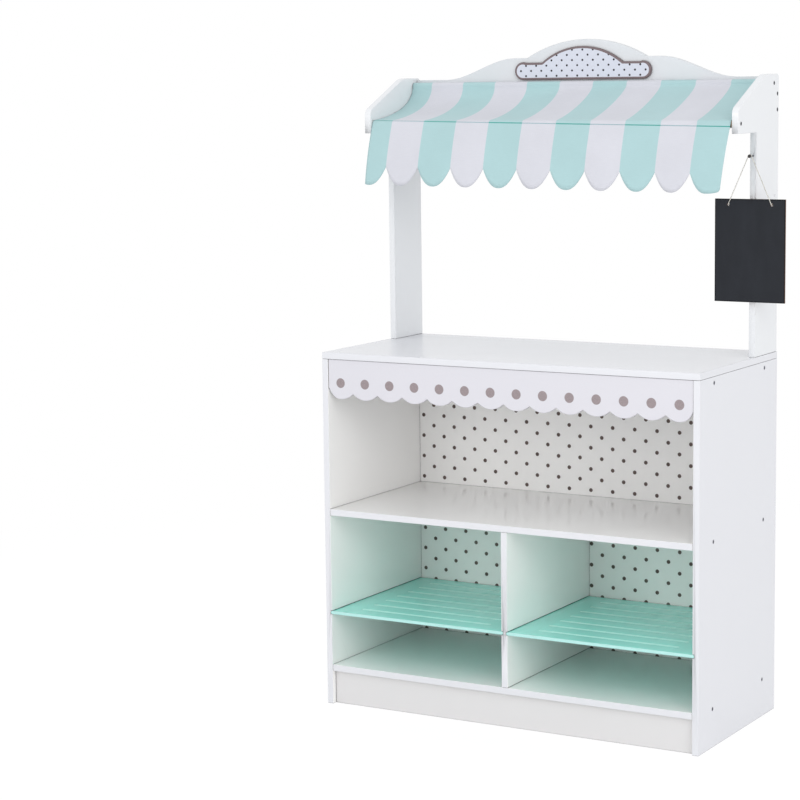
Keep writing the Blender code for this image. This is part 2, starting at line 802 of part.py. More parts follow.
def crossing(path, axis, value):
    """The point where a path of (Y, Z) points first passes this value."""
    for near, far in zip(path, path[1:]):
        low, high = sorted((near[axis], far[axis]))
        if low <= value <= high and low < high:
            return near.lerp(far, (value - near[axis]) / (far[axis] - near[axis]))
    raise ValueError("the cloth's path does not pass this value")


def pocket_path(across):
    """The strip that closes the front pocket: canopy, round under the dowel, valance."""
    along, height = FRONT_DOWEL
    above = crossing(canopy_path(across)[HEM_STEPS:], 0, along + CLOTH_REACH)
    under = [Vector(point) for point in arc(FRONT_DOWEL, CLOTH_REACH, 0, -90, 6)]
    forward = crossing(valance_path(), 1, height - CLOTH_REACH)
    return [above] + under + [forward]


def hem_height(across):
    """The height of the valance's lobed hem at this X. The last lobe is flatter on its outer half."""
    lobe = (across - FIRST_STRIPE_EDGE) / STRIPE_PITCH
    from_middle = abs(2 * (lobe - math.floor(lobe)) - 1)
    if lobe > STRIPES - 1.5:
        from_middle *= END_LOBE_SHARE
    height = VALANCE_BOTTOM - VALANCE_TILT * across + LOBE_DEPTH * from_middle**LOBE_POWER
    corner_start = AWNING_RIGHT - VALANCE_DRIFT - LOBE_CORNER
    over = min(max((across - corner_start) / LOBE_CORNER, 0), 1)
    return height + LOBE_CORNER * (1 - math.sqrt(1 - over**2))


def lobe_cutter():
    """Everything below the hem, one lobe to each stripe."""
    first = FIRST_STRIPE_EDGE - STRIPE_PITCH
    steps = STRIPES * LOBE_STEPS
    places = [first + STRIPE_PITCH * i / LOBE_STEPS for i in range(steps + 1)]
    corner_start = AWNING_RIGHT - VALANCE_DRIFT - LOBE_CORNER
    places += [corner_start + LOBE_CORNER * share for share in (0.5, 0.8, 0.97)]
    hem = [(across, hem_height(across)) for across in sorted(places)]
    under = VALANCE_BOTTOM - LOBE_DEPTH
    points = [(hem[0][0], under)] + hem + [(hem[-1][0], under)]
    mesh = upright_plane(outline_mesh("lobe_cutter", points, WING_REACH, edge=0), "FRONT")
    middle = round_dowel(FRONT_DOWEL, LEAVING_ANGLE).x - WING_REACH / 2
    return add_cutter("lobe_cutter", mesh, place=(0, middle, 0))


def make_awning():
    """One cloth: a hem round the rear dowel, the sagging canopy, the front pocket and the valance."""
    whole = sheet_mesh("awning", lambda across: canopy_path(across) + valance_path())
    awning = add_part("awning", whole, MINT_CLOTH)
    thicken(awning)
    strip = add_cutter("awning_pocket", sheet_mesh("awning_pocket", pocket_path, POCKET_INSET))
    thicken(strip)
    unite(awning, strip)
    cut(awning, lobe_cutter())


def hook_profile(clearance):
    """A round-head hook screw, head at the top. Its hole is only the shank's."""
    shank = HOOK_SHANK + clearance
    length = HOOK_REACH + HOOK_DEPTH + clearance
    if clearance:
        return [(0, 0), (shank, 0), (shank, -length), (0, -length)]
    dome = arc((0, -HOOK_HEAD), HOOK_HEAD, 90, 0, 5)
    neck = -HOOK_HEAD - HOOK_RIM
    return dome + [(HOOK_HEAD, neck), (shank, neck), (shank, -length), (0, -length)]


def make_hook(upright):
    mesh = turned_mesh("board_hook", hook_profile(0.0), steps=14)
    mesh.shade_smooth()
    mesh.set_sharp_from_angle(angle=math.radians(40))
    place = (HOOK_X, UPRIGHT_FRONT - HOOK_REACH, HOOK_HEIGHT)
    hook = add_part("board_hook", mesh, DARK_STEEL, place=place)
    hook.rotation_euler = TO_FRONT.to_euler()
    hole = turned_mesh("hook_hole", hook_profile(GAP))
    hole.transform(TO_FRONT)
    cut(upright, add_cutter("hook_hole", hole, place=place))


def string_points():
    """The string's middle line, from hole to hole over the hook, round the swing axis."""
    wrap = HOOK_SHANK + GAP + STRING_RADIUS
    hole = Vector((CHALK_HOLE_SPACING / 2, 0, -STRING_DROP))
    lean = math.atan2(hole.z, hole.x) + math.acos(wrap / hole.length)
    leave = Vector((wrap * math.cos(lean), 0, wrap * math.sin(lean)))
    down = (hole - leave).normalized()
    inwards = Vector((0, 1, 0))
    half = [hole + inwards * (STRING_RADIUS + CHALK_THICKNESS)]
    for i in range(6):
        angle = math.radians(90 - 18 * i)
        back = down * STRING_BEND * (1 - math.sin(angle))
        half.append(hole - back + inwards * STRING_BEND * (1 - math.cos(angle)))
    run = half[-1]
    half += [run.lerp(leave, i / 10) for i in range(1, 10)]
    over = arc((0, 0), wrap, math.degrees(lean), 180 - math.degrees(lean), 10)
    middle = [Vector((across, 0, up)) for across, up in over]
    other = [Vector((-point.x, point.y, point.z)) for point in reversed(half)]
    return half + middle + other


def make_string(swing):
    curve = bpy.data.curves.new("hanging_string", "CURVE")
    curve.dimensions = "3D"
    curve.bevel_depth = STRING_RADIUS
    curve.bevel_resolution = 2
    curve.use_fill_caps = True
    spline = curve.splines.new("POLY")
    points = string_points()
    spline.points.add(len(points) - 1)
    for point, place in zip(spline.points, points):
        point.co = (*place, 1)
    return add_part("hanging_string", curve, CREAM_STRING, parent=swing)


def make_chalkboard(tilt):
    """The board hangs from two holes, with the string's knots behind it."""
    hang = CHALK_HOLE_INSET - CHALK_HEIGHT / 2
    size = (CHALK_WIDTH, CHALK_THICKNESS, CHALK_HEIGHT)
    mesh = box_mesh("chalkboard", size)
    mesh.transform(Matrix.Translation((0, 0, hang)))
    board = add_part("chalkboard", mesh, SLATE, parent=tilt)
    rounding = board.modifiers.new("edges", "BEVEL")
    rounding.width = CHALK_THICKNESS / 10
    rounding.segments = 1
    hole = turned_mesh(
        "chalkboard_hole",
        [
            (0, CHALK_THICKNESS),
            (CHALK_HOLE_RADIUS, CHALK_THICKNESS),
            (CHALK_HOLE_RADIUS, -CHALK_THICKNESS),
            (0, -CHALK_THICKNESS),
        ],
        steps=20,
    )
    apart = CHALK_HOLE_SPACING / 2
    places = [Matrix.Translation((sign * apart, 0, 0)) @ TO_FRONT for sign in (-1, 1)]
    cut(board, add_cutter("chalkboard_holes", copies_mesh("chalkboard_holes", hole, places), tilt))
    bm = bmesh.new()
    bmesh.ops.create_uvsphere(bm, u_segments=12, v_segments=8, radius=KNOT_RADIUS)
    bmesh.ops.scale(bm, vec=(1, KNOT_FLATNESS, 1), verts=bm.verts)
    knot = bpy.data.meshes.new("knot")
    bm.to_mesh(knot)
    bm.free()
    behind = CHALK_THICKNESS / 2 + GAP + KNOT_RADIUS * KNOT_FLATNESS
    for name, sign in (("left", -1), ("right", 1)):
        place = (sign * apart, behind, 0)
        add_part(name + "_string_knot", knot, CREAM_STRING, tilt, place)


def cabinet_screw_places(sign):
    """Two screws into each end of the floor panel, the shelf and the rails."""
    turn = TO_RIGHT if sign > 0 else TO_LEFT
    face = sign * (WIDTH / 2 - SCREW_SUNK)
    heights = (FLOOR_PANEL_HEIGHT - BOARD / 2, SHELF_HEIGHT - BOARD / 2, COUNTER_UNDER - RAIL / 2)
    return [
        Matrix.Translation((face, along, up)) @ turn
        for up in heights
        for along in (-RAIL_OFFSET, RAIL_OFFSET)
    ]


def wing_screw_places(sign):
    """One screw into each dowel and two into the header."""
    turn = TO_RIGHT if sign > 0 else TO_LEFT
    face = sign * (UPRIGHT_OUTER - SCREW_SUNK)
    header = [(HEADER_FRONT + BOARD / 2, HEADER_BOTTOM + rise) for rise in HEADER_SCREW_RISES]
    return [
        Matrix.Translation((face, along, up)) @ turn
        for along, up in [FRONT_DOWEL, REAR_DOWEL] + header
    ]


def counter_screw_places():
    """Screws up through the rails into the counter."""
    under = COUNTER_UNDER - RAIL + SCREW_SUNK
    offset = WIDTH / 2 - COUNTER_SCREW_INSET
    return [
        Matrix.Translation((across, along, under)) @ DOWNWARDS
        for across in (-offset, offset)
        for along in (-RAIL_OFFSET, RAIL_OFFSET)
    ]


def end_pin_places(along, heights):
    """Pins that lie along X, half in a board's ends and half in the side panels."""
    middle = INSIDE + PIN_SEAT - PIN_LENGTH / 2
    return [
        Matrix.Translation((sign * middle, along, up)) @ TO_RIGHT
        for sign in (-1, 1)
        for up in heights
    ]


def upright_pin_places():
    middle = (UPRIGHT_INNER + UPRIGHT_OUTER) / 2
    return [
        Matrix.Translation((sign * middle, along, COUNTER_HEIGHT - BOARD / 2))
        for sign in (-1, 1)
        for along in (UPRIGHT_FRONT + UPRIGHT_PIN_INSET, BACK_FRONT - UPRIGHT_PIN_INSET)
    ]


def build():
    sides = make_side_panels()
    counter, shelf, floor_panel, rails = make_flat_boards()
    make_back_panels()
    apron = make_apron()
    make_trays()
    uprights = make_uprights()
    header = make_header()
    make_sign()
    dowels = make_dowels()
    make_awning()

    def long_screw(clearance):
        return screw_profile(CABINET_SCREW, clearance)

    def short_screw(clearance):
        return screw_profile(WING_SCREW, clearance)

    def short_pin(clearance):
        return pin_profile(PIN_LENGTH, clearance)

    def long_pin(clearance):
        return pin_profile(UPRIGHT_PIN_LENGTH, clearance)

    for side, sign in (("left", -1), ("right", 1)):
        holes = add_fasteners(
            side + "_cabinet_screw", long_screw, cabinet_screw_places(sign), DARK_STEEL
        )
        for board in [sides[side], shelf, floor_panel] + rails:
            cut(board, holes)
        holes = add_fasteners(side + "_wing_screw", short_screw, wing_screw_places(sign), DARK_STEEL)
        for piece in (uprights[side], header, dowels["front"], dowels["rear"]):
            cut(piece, holes)
    holes = add_fasteners("counter_screw", short_screw, counter_screw_places(), DARK_STEEL)
    for board in [counter] + rails:
        cut(board, holes)
    apron_middle = FRONT + APRON_SETBACK + APRON_THICKNESS / 2
    apron_heights = [COUNTER_UNDER - drop for drop in APRON_PIN_DROPS]
    holes = add_fasteners("apron_pin", short_pin, end_pin_places(apron_middle, apron_heights), BEECH)
    for board in (sides["left"], sides["right"], apron):
        cut(board, holes)
    holes = add_fasteners("upright_pin", long_pin, upright_pin_places(), BEECH)
    for board in (sides["left"], sides["right"], counter, uprights["left"], uprights["right"]):
        cut(board, holes)
    make_hook(uprights["right"])

    swing = new_empty("string_swing", stand, (HOOK_X, STRING_Y, HOOK_HEIGHT))
    tilt = new_empty("board_tilt", swing, (0, CHALK_MIDDLE - STRING_Y, -STRING_DROP))
    make_string(swing)
    make_chalkboard(tilt)


clear_scene()
parts = new_collection("toy_bakery_stand")
cutters = new_collection("cutters")
stand = bpy.data.objects.new("stand_origin", None)
stand.location = (CENTRE_SHIFT, 0, 0)
parts.objects.link(stand)
build()
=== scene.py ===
"""Finishes for a toy bakery stand: painted boards, striped awning, chalkboard and stage."""

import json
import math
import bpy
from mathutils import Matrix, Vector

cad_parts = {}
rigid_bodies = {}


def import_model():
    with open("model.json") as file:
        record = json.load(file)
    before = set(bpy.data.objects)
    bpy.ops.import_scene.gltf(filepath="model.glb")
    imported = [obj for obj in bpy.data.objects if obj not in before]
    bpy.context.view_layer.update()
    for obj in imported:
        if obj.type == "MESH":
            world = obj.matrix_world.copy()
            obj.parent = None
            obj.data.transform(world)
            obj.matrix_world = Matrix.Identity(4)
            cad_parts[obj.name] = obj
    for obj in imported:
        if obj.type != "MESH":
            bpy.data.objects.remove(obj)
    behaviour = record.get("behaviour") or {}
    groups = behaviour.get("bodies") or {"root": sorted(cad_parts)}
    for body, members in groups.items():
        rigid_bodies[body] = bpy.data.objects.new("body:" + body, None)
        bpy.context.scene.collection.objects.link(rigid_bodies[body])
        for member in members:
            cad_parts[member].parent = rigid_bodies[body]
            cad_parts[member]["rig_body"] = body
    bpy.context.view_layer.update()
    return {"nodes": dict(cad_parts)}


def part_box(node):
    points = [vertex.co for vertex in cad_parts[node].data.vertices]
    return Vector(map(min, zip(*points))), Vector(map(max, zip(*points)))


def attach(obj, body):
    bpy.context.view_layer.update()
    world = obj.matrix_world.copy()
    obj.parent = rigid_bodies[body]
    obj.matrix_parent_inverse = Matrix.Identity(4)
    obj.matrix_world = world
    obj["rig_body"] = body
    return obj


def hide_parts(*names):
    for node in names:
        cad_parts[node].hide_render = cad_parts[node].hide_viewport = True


bl_info = {
    "name": "Toy Bakery Stand",
    "version": (1, 0, 0),
    "blender": (4, 5, 0),
    "location": "3D View > Sidebar > Toy Stand",
    "description": "Dresses a toy bakery stand with paint, cloth, string and a soft studio",
    "category": "Add Mesh",
}

import bmesh
import bpy
from bmesh.types import BMEdge, BMFace, BMVert
from bpy.props import FloatProperty, FloatVectorProperty, IntProperty, PointerProperty
from mathutils import Matrix, Vector

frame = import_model()


def node_middle(node):
    low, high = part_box(node)
    return (low + high) / 2


# Places and sizes that the pieces share, in metres
MIDDLE_X = node_middle("counter_top").x

# The awning, across from the counter's middle. The reach is from a dowel's axis to the cloth's middle layer.
FRONT_DOWEL = Vector(node_middle("front_awning_dowel").yz)
REAR_DOWEL = Vector(node_middle("rear_awning_dowel").yz)
CLOTH_REACH = 0.0068
AWNING_LEFT, AWNING_RIGHT = -0.361, 0.3575
FIRST_STRIPE_EDGE = -0.3186
STRIPE = 0.0682
VALANCE_BOTTOM = 0.9587
VALANCE_SLOPE = 0.010
LOBE_RISE = 0.034
LAST_LOBE_SHARE = 0.47
CORNER_RADIUS = 0.005

# The front seam, and its two rows in the cloth's section
SEAM_WIDTH = 0.0013
SEAM_DEPTH = 0.0003
SEAM_FALL = 0.0156
SEAM_ROWS = (61, 62)

# The angles in degrees at which the cloth's section meets its dowels, and how far its curve is pulled
# towards the rear and front. Pairs are for the slack left and the taut right.
HEM_START = -145
REAR_LEAVE = 180
FRONT_ARRIVAL = (95, 102)
FRONT_LEAVE = 166
REAR_PULL = (0.028, 0.012)
FRONT_PULL = (0.098, 0.056)

# The chalkboard's string
HOOK_X = 0.368 + MIDDLE_X
HOOK_HEIGHT = 1.0165
STRING_Y = 0.056
STRING_WRAP = 0.0028
STRING_BEND = 0.002
HOLE_OFFSET = 0.0405
STRING_DROP = 0.0845
CHALK_THICKNESS = 0.0035


def shade(red, green, blue):
    """A colour as a screen shows it, 0 to 255, as the linear values that materials take."""
    levels = []
    for value in (red, green, blue):
        value /= 255
        levels.append(value / 12.92 if value <= 0.04045 else ((value + 0.055) / 1.055) ** 2.4)
    return tuple(levels)


def colour_property(name, description, *levels):
    """A colour, its default given as a screen shows it, 0 to 255."""
    return FloatVectorProperty(
        name=name, description=description, subtype="COLOR", size=3, min=0, max=1,
        default=shade(*levels),
    )


def length_property(name, description, default):
    return FloatProperty(name=name, description=description, unit="LENGTH", default=default, min=0)


def share_property(name, description, default):
    return FloatProperty(
        name=name, description=description, subtype="FACTOR", default=default, min=0, max=1
    )


class StandBoards(bpy.types.PropertyGroup):
    white: colour_property("White", "Paint of the boards", 219, 219, 223)
    # Painted light: the inside white is the board white made lighter and warmer, so the faces inside the
    # cabinet and the back panels look lit.
    inner: colour_property("Inside white", "Board white made lighter and warmer inside the cabinet, as painted light", 249, 248, 246)
    # Painted light: the uprights take a lighter copy of the board white.
    upright: colour_property("Upright white", "Board white made lighter on the uprights, as painted light", 225, 226, 228)
    # Painted shade: the plinth takes a darker, warmer copy of the board white.
    low: colour_property("Plinth white", "Board white made darker and warmer on the plinth, as painted shade", 216, 214, 214)
    # Painted shade: the header takes a darker copy of the board white.
    arch: colour_property("Header white", "Board white made darker on the arched header, as painted shade", 211, 213, 216)
    lilac: colour_property("Apron white", "Cooler white of the apron", 211, 209, 215)
    worn: colour_property("Worn edge", "Where paint is thin on an edge", 196, 190, 180)
    gloss: share_property("Roughness", "Roughness of the white paint", 0.25)
    wear: share_property("Edge wear", "How much the edges show wear", 0.2)
    back_dot: colour_property("Back dots", "Small dots of the back panels", 90, 74, 68)
    back_dot_size: length_property("Back dot size", "Width of a small dot", 0.0075)
    apron_dot: colour_property("Apron dots", "Large dots of the apron", 147, 134, 136)
    apron_dot_size: length_property("Apron dot size", "Width of a large dot", 0.018)


class StandTrays(bpy.types.PropertyGroup):
    mint: colour_property("Mint", "Gloss paint of the sliding trays", 142, 240, 226)
    # Painted highlight: the coves take a paler mint than the tray, where light falls on their walls.
    cove_highlight: colour_property("Cove", "Paler mint in the coves, as painted highlight", 192, 250, 240)
    # Painted highlight: the front edge takes a paler mint than the tray.
    edge: colour_property("Front edge", "Paler mint on the front edge, as painted highlight", 174, 224, 218)
    gloss: share_property("Roughness", "Roughness of the mint paint", 0.2)


class StandSign(bpy.types.PropertyGroup):
    border: colour_property("Border", "Line round the sign and its edge", 112, 96, 98)
    face: colour_property("Face", "Printed face of the sign", 204, 206, 217)
    dot: colour_property("Dots", "Small dots of the sign", 32, 27, 33)
    line: length_property("Border width", "Width of the line round the sign", 0.0032)


class StandAwning(bpy.types.PropertyGroup):
    mint: colour_property("Mint cloth", "Mint stripes", 167, 198, 200)
    white: colour_property("White cloth", "White stripes", 204, 204, 211)
    # Painted shade: the two seam colours darken the cloth in the front seam's groove, deeper on mint.
    seam: colour_property("Mint seam", "Mint cloth darkened in the front seam, as painted shade", 46, 158, 149)
    white_seam_shade: colour_property("White seam", "White cloth darkened in the front seam, as painted shade", 172, 186, 196)
    thread: colour_property("Thread", "Stitches along the front", 84, 168, 160)
    yarn: length_property("Yarn", "Distance between the cloth's threads", 0.0005)
    thickness: length_property("Thickness", "Thickness of the cloth", 0.0009)
    ripple: length_property("Ripple", "How far the hanging cloth swells", 0.0012)


class StandHardware(bpy.types.PropertyGroup):
    steel: colour_property("Screws", "Zinc-plated steel of the screws", 128, 130, 138)
    # Painted shade: the wing screws take a darker copy of the screw steel.
    dull: colour_property("Wing screws", "Screw steel made darker on the wing screws, as painted shade", 80, 80, 86)
    bronze: colour_property("Hook head", "Dark head of the board's hook", 70, 66, 66)
    wood: colour_property("Wood", "Pale side of the dowels' grain", 178, 158, 132)
    grain: colour_property("Grain", "Dark side of the dowels' grain", 140, 118, 92)
    string: colour_property("String", "Cotton string of the board", 248, 245, 238)


class StandChalkboard(bpy.types.PropertyGroup):
    slate: colour_property("Slate", "Writing face", 38, 40, 45)
    chalk: colour_property("Chalk dust", "Haze of wiped chalk", 56, 58, 63)
    core: colour_property("Core", "Brown board seen at the edge", 112, 78, 62)


class StandStage(bpy.types.PropertyGroup):
    floor: colour_property("Floor", "Colour of the studio floor", 236, 236, 236)
    sky: FloatProperty(name="Room light", description="Strength of the even light", default=0.98)
    key: FloatProperty(name="Key light", description="Strength of the front lamp", default=25)
    high: FloatProperty(name="High light", description="Strength of the raised lamp", default=18)
    side: FloatProperty(name="Side light", description="Strength of the lamp at the right", default=26)
    lens: FloatProperty(name="Lens", description="Focal length in mm", default=105.682, min=1)


class StandSettings(bpy.types.PropertyGroup):
    boards: PointerProperty(type=StandBoards)
    trays: PointerProperty(type=StandTrays)
    sign: PointerProperty(type=StandSign)
    awning: PointerProperty(type=StandAwning)
    hardware: PointerProperty(type=StandHardware)
    chalkboard: PointerProperty(type=StandChalkboard)
    stage: PointerProperty(type=StandStage)


# Materials


class Wiring:
    """Adds nodes to one node tree and joins them."""

    def __init__(self, tree):
        self.nodes = tree.nodes
        self.links = tree.links

    def feed(self, socket, value):
        if isinstance(value, bpy.types.NodeSocket):
            self.links.new(value, socket)
        elif value is not None:
            is_colour = socket.type == "RGBA" and len(value) == 3
            socket.default_value = (*value, 1) if is_colour else value

    def add(self, kind, inputs=(), **settings):
        """A node. Its inputs are given by name, or in order."""
        node = self.nodes.new(kind)
        for name, value in settings.items():
            setattr(node, name, value)
        pairs = inputs.items() if isinstance(inputs, dict) else enumerate(inputs)
        for place, value in pairs:
            self.feed(node.inputs[place], value)
        return node

    def made(self, kind, inputs=(), **settings):
        """The first output of a new node."""
        return self.add(kind, inputs, **settings).outputs[0]

    def sums(self, operation, *inputs):
        return self.made("ShaderNodeMath", inputs, operation=operation)

    def times(self, *inputs):
        return self.sums("MULTIPLY", *inputs)

    def scaled(self, value, by, plus):
        return self.sums("MULTIPLY_ADD", value, by, plus)

    def vectors(self, operation, *inputs):
        return self.made("ShaderNodeVectorMath", inputs, operation=operation)

    def measure(self, operation, *inputs):
        """A length or another single number from vectors."""
        return self.add("ShaderNodeVectorMath", inputs, operation=operation).outputs["Value"]

    def split(self, vector):
        return self.add("ShaderNodeSeparateXYZ", (vector,)).outputs

    def noise(self, place, scale, detail=2.0, roughness=0.5):
        inputs = {"Vector": place, "Scale": scale, "Detail": detail, "Roughness": roughness}
        return self.made("ShaderNodeTexNoise", inputs)

    def ramp(self, value, low, high, to_low=0.0, to_high=1.0):
        inputs = (value, low, high, to_low, to_high)
        return self.made("ShaderNodeMapRange", inputs, interpolation_type="SMOOTHSTEP")

    def mix(self, share, first, second):
        inputs = {0: share, 6: first, 7: second}
        return self.add("ShaderNodeMix", inputs, data_type="RGBA").outputs[2]

    def brighten(self, colour, value):
        return self.made("ShaderNodeHueSaturation", {"Color": colour, "Value": value})

    def mottle(self, colour, noise, dark, pale):
        """The colour, made darker and paler by a noise."""
        return self.brighten(colour, self.ramp(noise, 0.3, 0.7, dark, pale))

    def here(self, location=(0, 0, 0), scale=(1, 1, 1)):
        """The place on the object, moved and scaled."""
        place = self.add("ShaderNodeTexCoord").outputs["Object"]
        inputs = {"Vector": place, "Location": location, "Scale": scale}
        return self.made("ShaderNodeMapping", inputs)

    def feed_named(self, node, values):
        """Feeds a node's inputs by their names, written with _ for a space."""
        for name, value in values.items():
            self.feed(node.inputs[name.replace("_", " ")], value)
        return node

    def effect(self, group, **values):
        return self.feed_named(self.add("ShaderNodeGroup", node_tree=group), values).outputs


def clean_wiring(owner):
    """The wiring of a material's or a world's node tree, emptied."""
    owner.use_nodes = True
    owner.node_tree.nodes.clear()
    return Wiring(owner.node_tree)


def effect_group(name, inputs, outputs):
    """Marks a function that wires a shader node group, which is built once and then used again."""

    def mark(wire):
        def build():
            if name in bpy.data.node_groups:
                return bpy.data.node_groups[name]
            group = bpy.data.node_groups.new(name, "ShaderNodeTree")
            for label, kind, value in inputs:
                socket = group.interface.new_socket(
                    label, in_out="INPUT", socket_type="NodeSocket" + kind
                )
                if value is not None:
                    socket.default_value = value
            for label, kind in outputs:
                group.interface.new_socket(label, in_out="OUTPUT", socket_type="NodeSocket" + kind)
            wiring = Wiring(group)
            given = wiring.add("NodeGroupInput").outputs
            wire(wiring, given, wiring.add("NodeGroupOutput").inputs)
            return group

        return build

    return mark


@effect_group(
    "Sprayed paint",
    [("Colour", "Color", (0.8, 0.8, 0.8, 1)), ("Worn", "Color", (0.5, 0.48, 0.45, 1)),
     ("Wear", "Float", 0.35), ("Gloss", "Float", 0.35), ("Drift", "Float", 0.02),
     ("Joint", "Float", 0.6)],
    [("Colour", "Color"), ("Roughness", "Float"), ("Height", "Float")],
)
def paint_group(w, given, result):
    """Sprayed paint: a drifting tone, an orange-peel skin, thin paint on edges, and painted shade that
    darkens corners and gaps where parts meet.
    """
    place = w.here()
    drift = w.noise(place, 3.5, 3.0)
    tone = w.scaled(w.sums("SUBTRACT", drift, 0.5), given["Drift"], 1.0)
    rounded = w.made("ShaderNodeBevel", {"Radius": 0.0016}, samples=4)
    facing = w.add("ShaderNodeNewGeometry").outputs["Normal"]
    turn = w.measure("DOT_PRODUCT", rounded, facing)
    edge = w.ramp(turn, 0.80, 0.985, 1.0, 0.0)
    patches = w.ramp(w.noise(place, 55.0, 4.0, 0.6), 0.42, 0.62)
    worn = w.times(w.times(edge, patches), given["Wear"])
    colour = w.mix(worn, w.brighten(given["Colour"], tone), given["Worn"])
    # Painted shade: ambient occlusion darkens the colour towards dark grey in corners, creases and gaps
    # between parts.
    open_air = w.add("ShaderNodeAmbientOcclusion", {"Distance": 0.003}, samples=6).outputs["AO"]
    crease_shade = w.times(w.ramp(open_air, 0.42, 0.82, 1.0, 0.0), given["Joint"])
    w.feed(result["Colour"], w.mix(crease_shade, colour, (0.16, 0.15, 0.15)))
    skin = w.noise(place, 420.0, 2.0)
    smear = w.noise(w.here(scale=(9, 9, 60)), 1.0, 3.0)
    dull = w.scaled(smear, 0.04, w.sums("SUBTRACT", given["Gloss"], 0.02))
    w.feed(result["Roughness"], w.scaled(worn, 0.35, dull))
    w.feed(result["Height"], skin)


@effect_group(
    "Dots in rows",
    [("Place", "Vector", None), ("Pitch", "Float", 0.045), ("Rise", "Float", 0.04),
     ("Size", "Float", 0.0075)],
    [("Mask", "Float")],
)
def dots_group(w, given, result):
    """Round dots in rows across a flat face. Every other row is moved along by half a pitch."""
    cell = w.made("ShaderNodeCombineXYZ", (given["Pitch"], 1.0, given["Rise"]))
    flat_cell = w.vectors("MULTIPLY", cell, (1, 0, 1))
    lengths = []
    for moved in (0.0, 0.5):
        turned = w.vectors("ADD", w.vectors("DIVIDE", given["Place"], cell), (moved, 0, moved))
        inside = w.vectors("SUBTRACT", w.vectors("FRACTION", turned), (0.5, 0.5, 0.5))
        lengths.append(w.measure("LENGTH", w.vectors("MULTIPLY", inside, flat_cell)))
    nearest = w.sums("MINIMUM", *lengths)
    radius = w.times(given["Size"], 0.5)
    inner = w.sums("SUBTRACT", radius, 0.0002)
    outer = w.sums("ADD", radius, 0.0002)
    w.feed(result["Mask"], w.ramp(nearest, inner, outer, 1.0, 0.0))


@effect_group(
    "Plain weave",
    [("Place", "Vector", None), ("Yarn", "Float", 0.0005), ("Slub", "Float", 0.3)],
    [("Height", "Float"), ("Shade", "Float")],
)
def weave_group(w, given, result):
    """Plain weave on a flat layout: warp and weft pass over each other in turn."""
    slub = w.noise(w.vectors("MULTIPLY", given["Place"], (60, 900, 1)), 1.0, 2.0)
    count = w.sums("DIVIDE", 1.0, given["Yarn"])
    threads = {"Vector": given["Place"], "Scale": count}
    across, along = w.split(w.made("ShaderNodeVectorMath", threads, operation="SCALE"))[:2]
    floors = [w.sums("FLOOR", value) for value in (across, along)]
    over = w.sums("MODULO", w.sums("ABSOLUTE", w.sums("ADD", *floors)), 2.0)
    humps = []
    for value in (across, along):
        humps.append(w.sums("SINE", w.times(w.sums("FRACT", value), math.pi)))
    warp = w.times(humps[0], w.scaled(over, 0.6, 0.4))
    weft = w.times(humps[1], w.scaled(over, -0.6, 1.0))
    height = w.sums("MAXIMUM", warp, weft)
    w.feed(result["Height"], w.scaled(slub, given["Slub"], height))
    # Painted shade: thread crowns are lighter and the hollows between them darker, by the weave's height;
    # the slub adds the yarn's own tone.
    tone = w.scaled(height, 0.10, w.scaled(slub, 0.08, 0.90))
    w.feed(result["Shade"], tone)


@effect_group(
    "Straight grain",
    [("Pale", "Color", (0.7, 0.5, 0.3, 1)), ("Dark", "Color", (0.4, 0.3, 0.2, 1))],
    [("Colour", "Color"), ("Height", "Float")],
)
def grain_group(w, given, result):
    """Straight wood grain along X."""
    lines = w.noise(w.here(scale=(14, 700, 700)), 1.0, 4.0, 0.6)
    bands = w.noise(w.here(scale=(5, 160, 160)), 1.0, 2.0)
    share = w.ramp(w.scaled(bands, 0.5, w.times(lines, 0.5)), 0.35, 0.65)
    w.feed(result["Colour"], w.mix(share, given["Pale"], given["Dark"]))
    w.feed(result["Height"], lines)


class Finish(Wiring):
    """A new material with one shader, and its wiring. Plain values are set as sockets are named."""

    def __init__(self, name, roughness=0.5, **sockets):
        self.material = bpy.data.materials.new(name)
        clean_wiring(self.material)
        super().__init__(self.material.node_tree)
        shader = self.add("ShaderNodeBsdfPrincipled", {"Roughness": roughness})
        self.shader = self.feed_named(shader, sockets).inputs
        self.add("ShaderNodeOutputMaterial", (shader.outputs[0],))

    def surface(self, colour, height, distance, strength=1.0, roughness=None):
        """Feeds the shader its colour, its normal from a height in metres, and a roughness that varies."""
        self.feed(self.shader["Base Color"], colour)
        self.feed(self.shader["Roughness"], roughness)
        inputs = {"Strength": strength, "Distance": distance, "Height": height}
        self.feed(self.shader["Normal"], self.made("ShaderNodeBump", inputs))
        return self.material


# Besides dots, a material takes a strength for the painted shade that darkens its corners and gaps.
def painted_material(
    name, colour, boards, gloss=None, wear=None, dots=None, drift=0.02, crease_shade=0.6, **sockets
):
    """Painted board, with rows of printed dots where they are given."""
    w = Finish(name, **sockets)
    paint = w.effect(
        paint_group(), Colour=colour, Worn=boards.worn,
        Wear=boards.wear if wear is None else wear,
        Gloss=boards.gloss if gloss is None else gloss, Drift=drift, Joint=crease_shade,
    )
    tint, roughness, height = paint["Colour"], paint["Roughness"], paint["Height"]
    if dots:
        ink, size, pitch, rise, origin = dots
        place = w.here(location=(-origin[0] + pitch / 2, 0, -origin[1] + rise / 2))
        mask = w.effect(dots_group(), Place=place, Pitch=pitch, Rise=rise, Size=size)["Mask"]
        front = w.split(w.add("ShaderNodeNewGeometry").outputs["True Normal"])[1]
        mask = w.times(mask, w.ramp(front, -0.9, -0.7, 1.0, 0.0))
        tint = w.mix(mask, tint, w.mottle(ink, w.noise(w.here(), 900.0), 0.86, 1.1))
        roughness = w.scaled(mask, 0.12, roughness)
        height = w.scaled(mask, 0.25, height)
    return w.surface(tint, height, 0.00004, roughness=roughness)


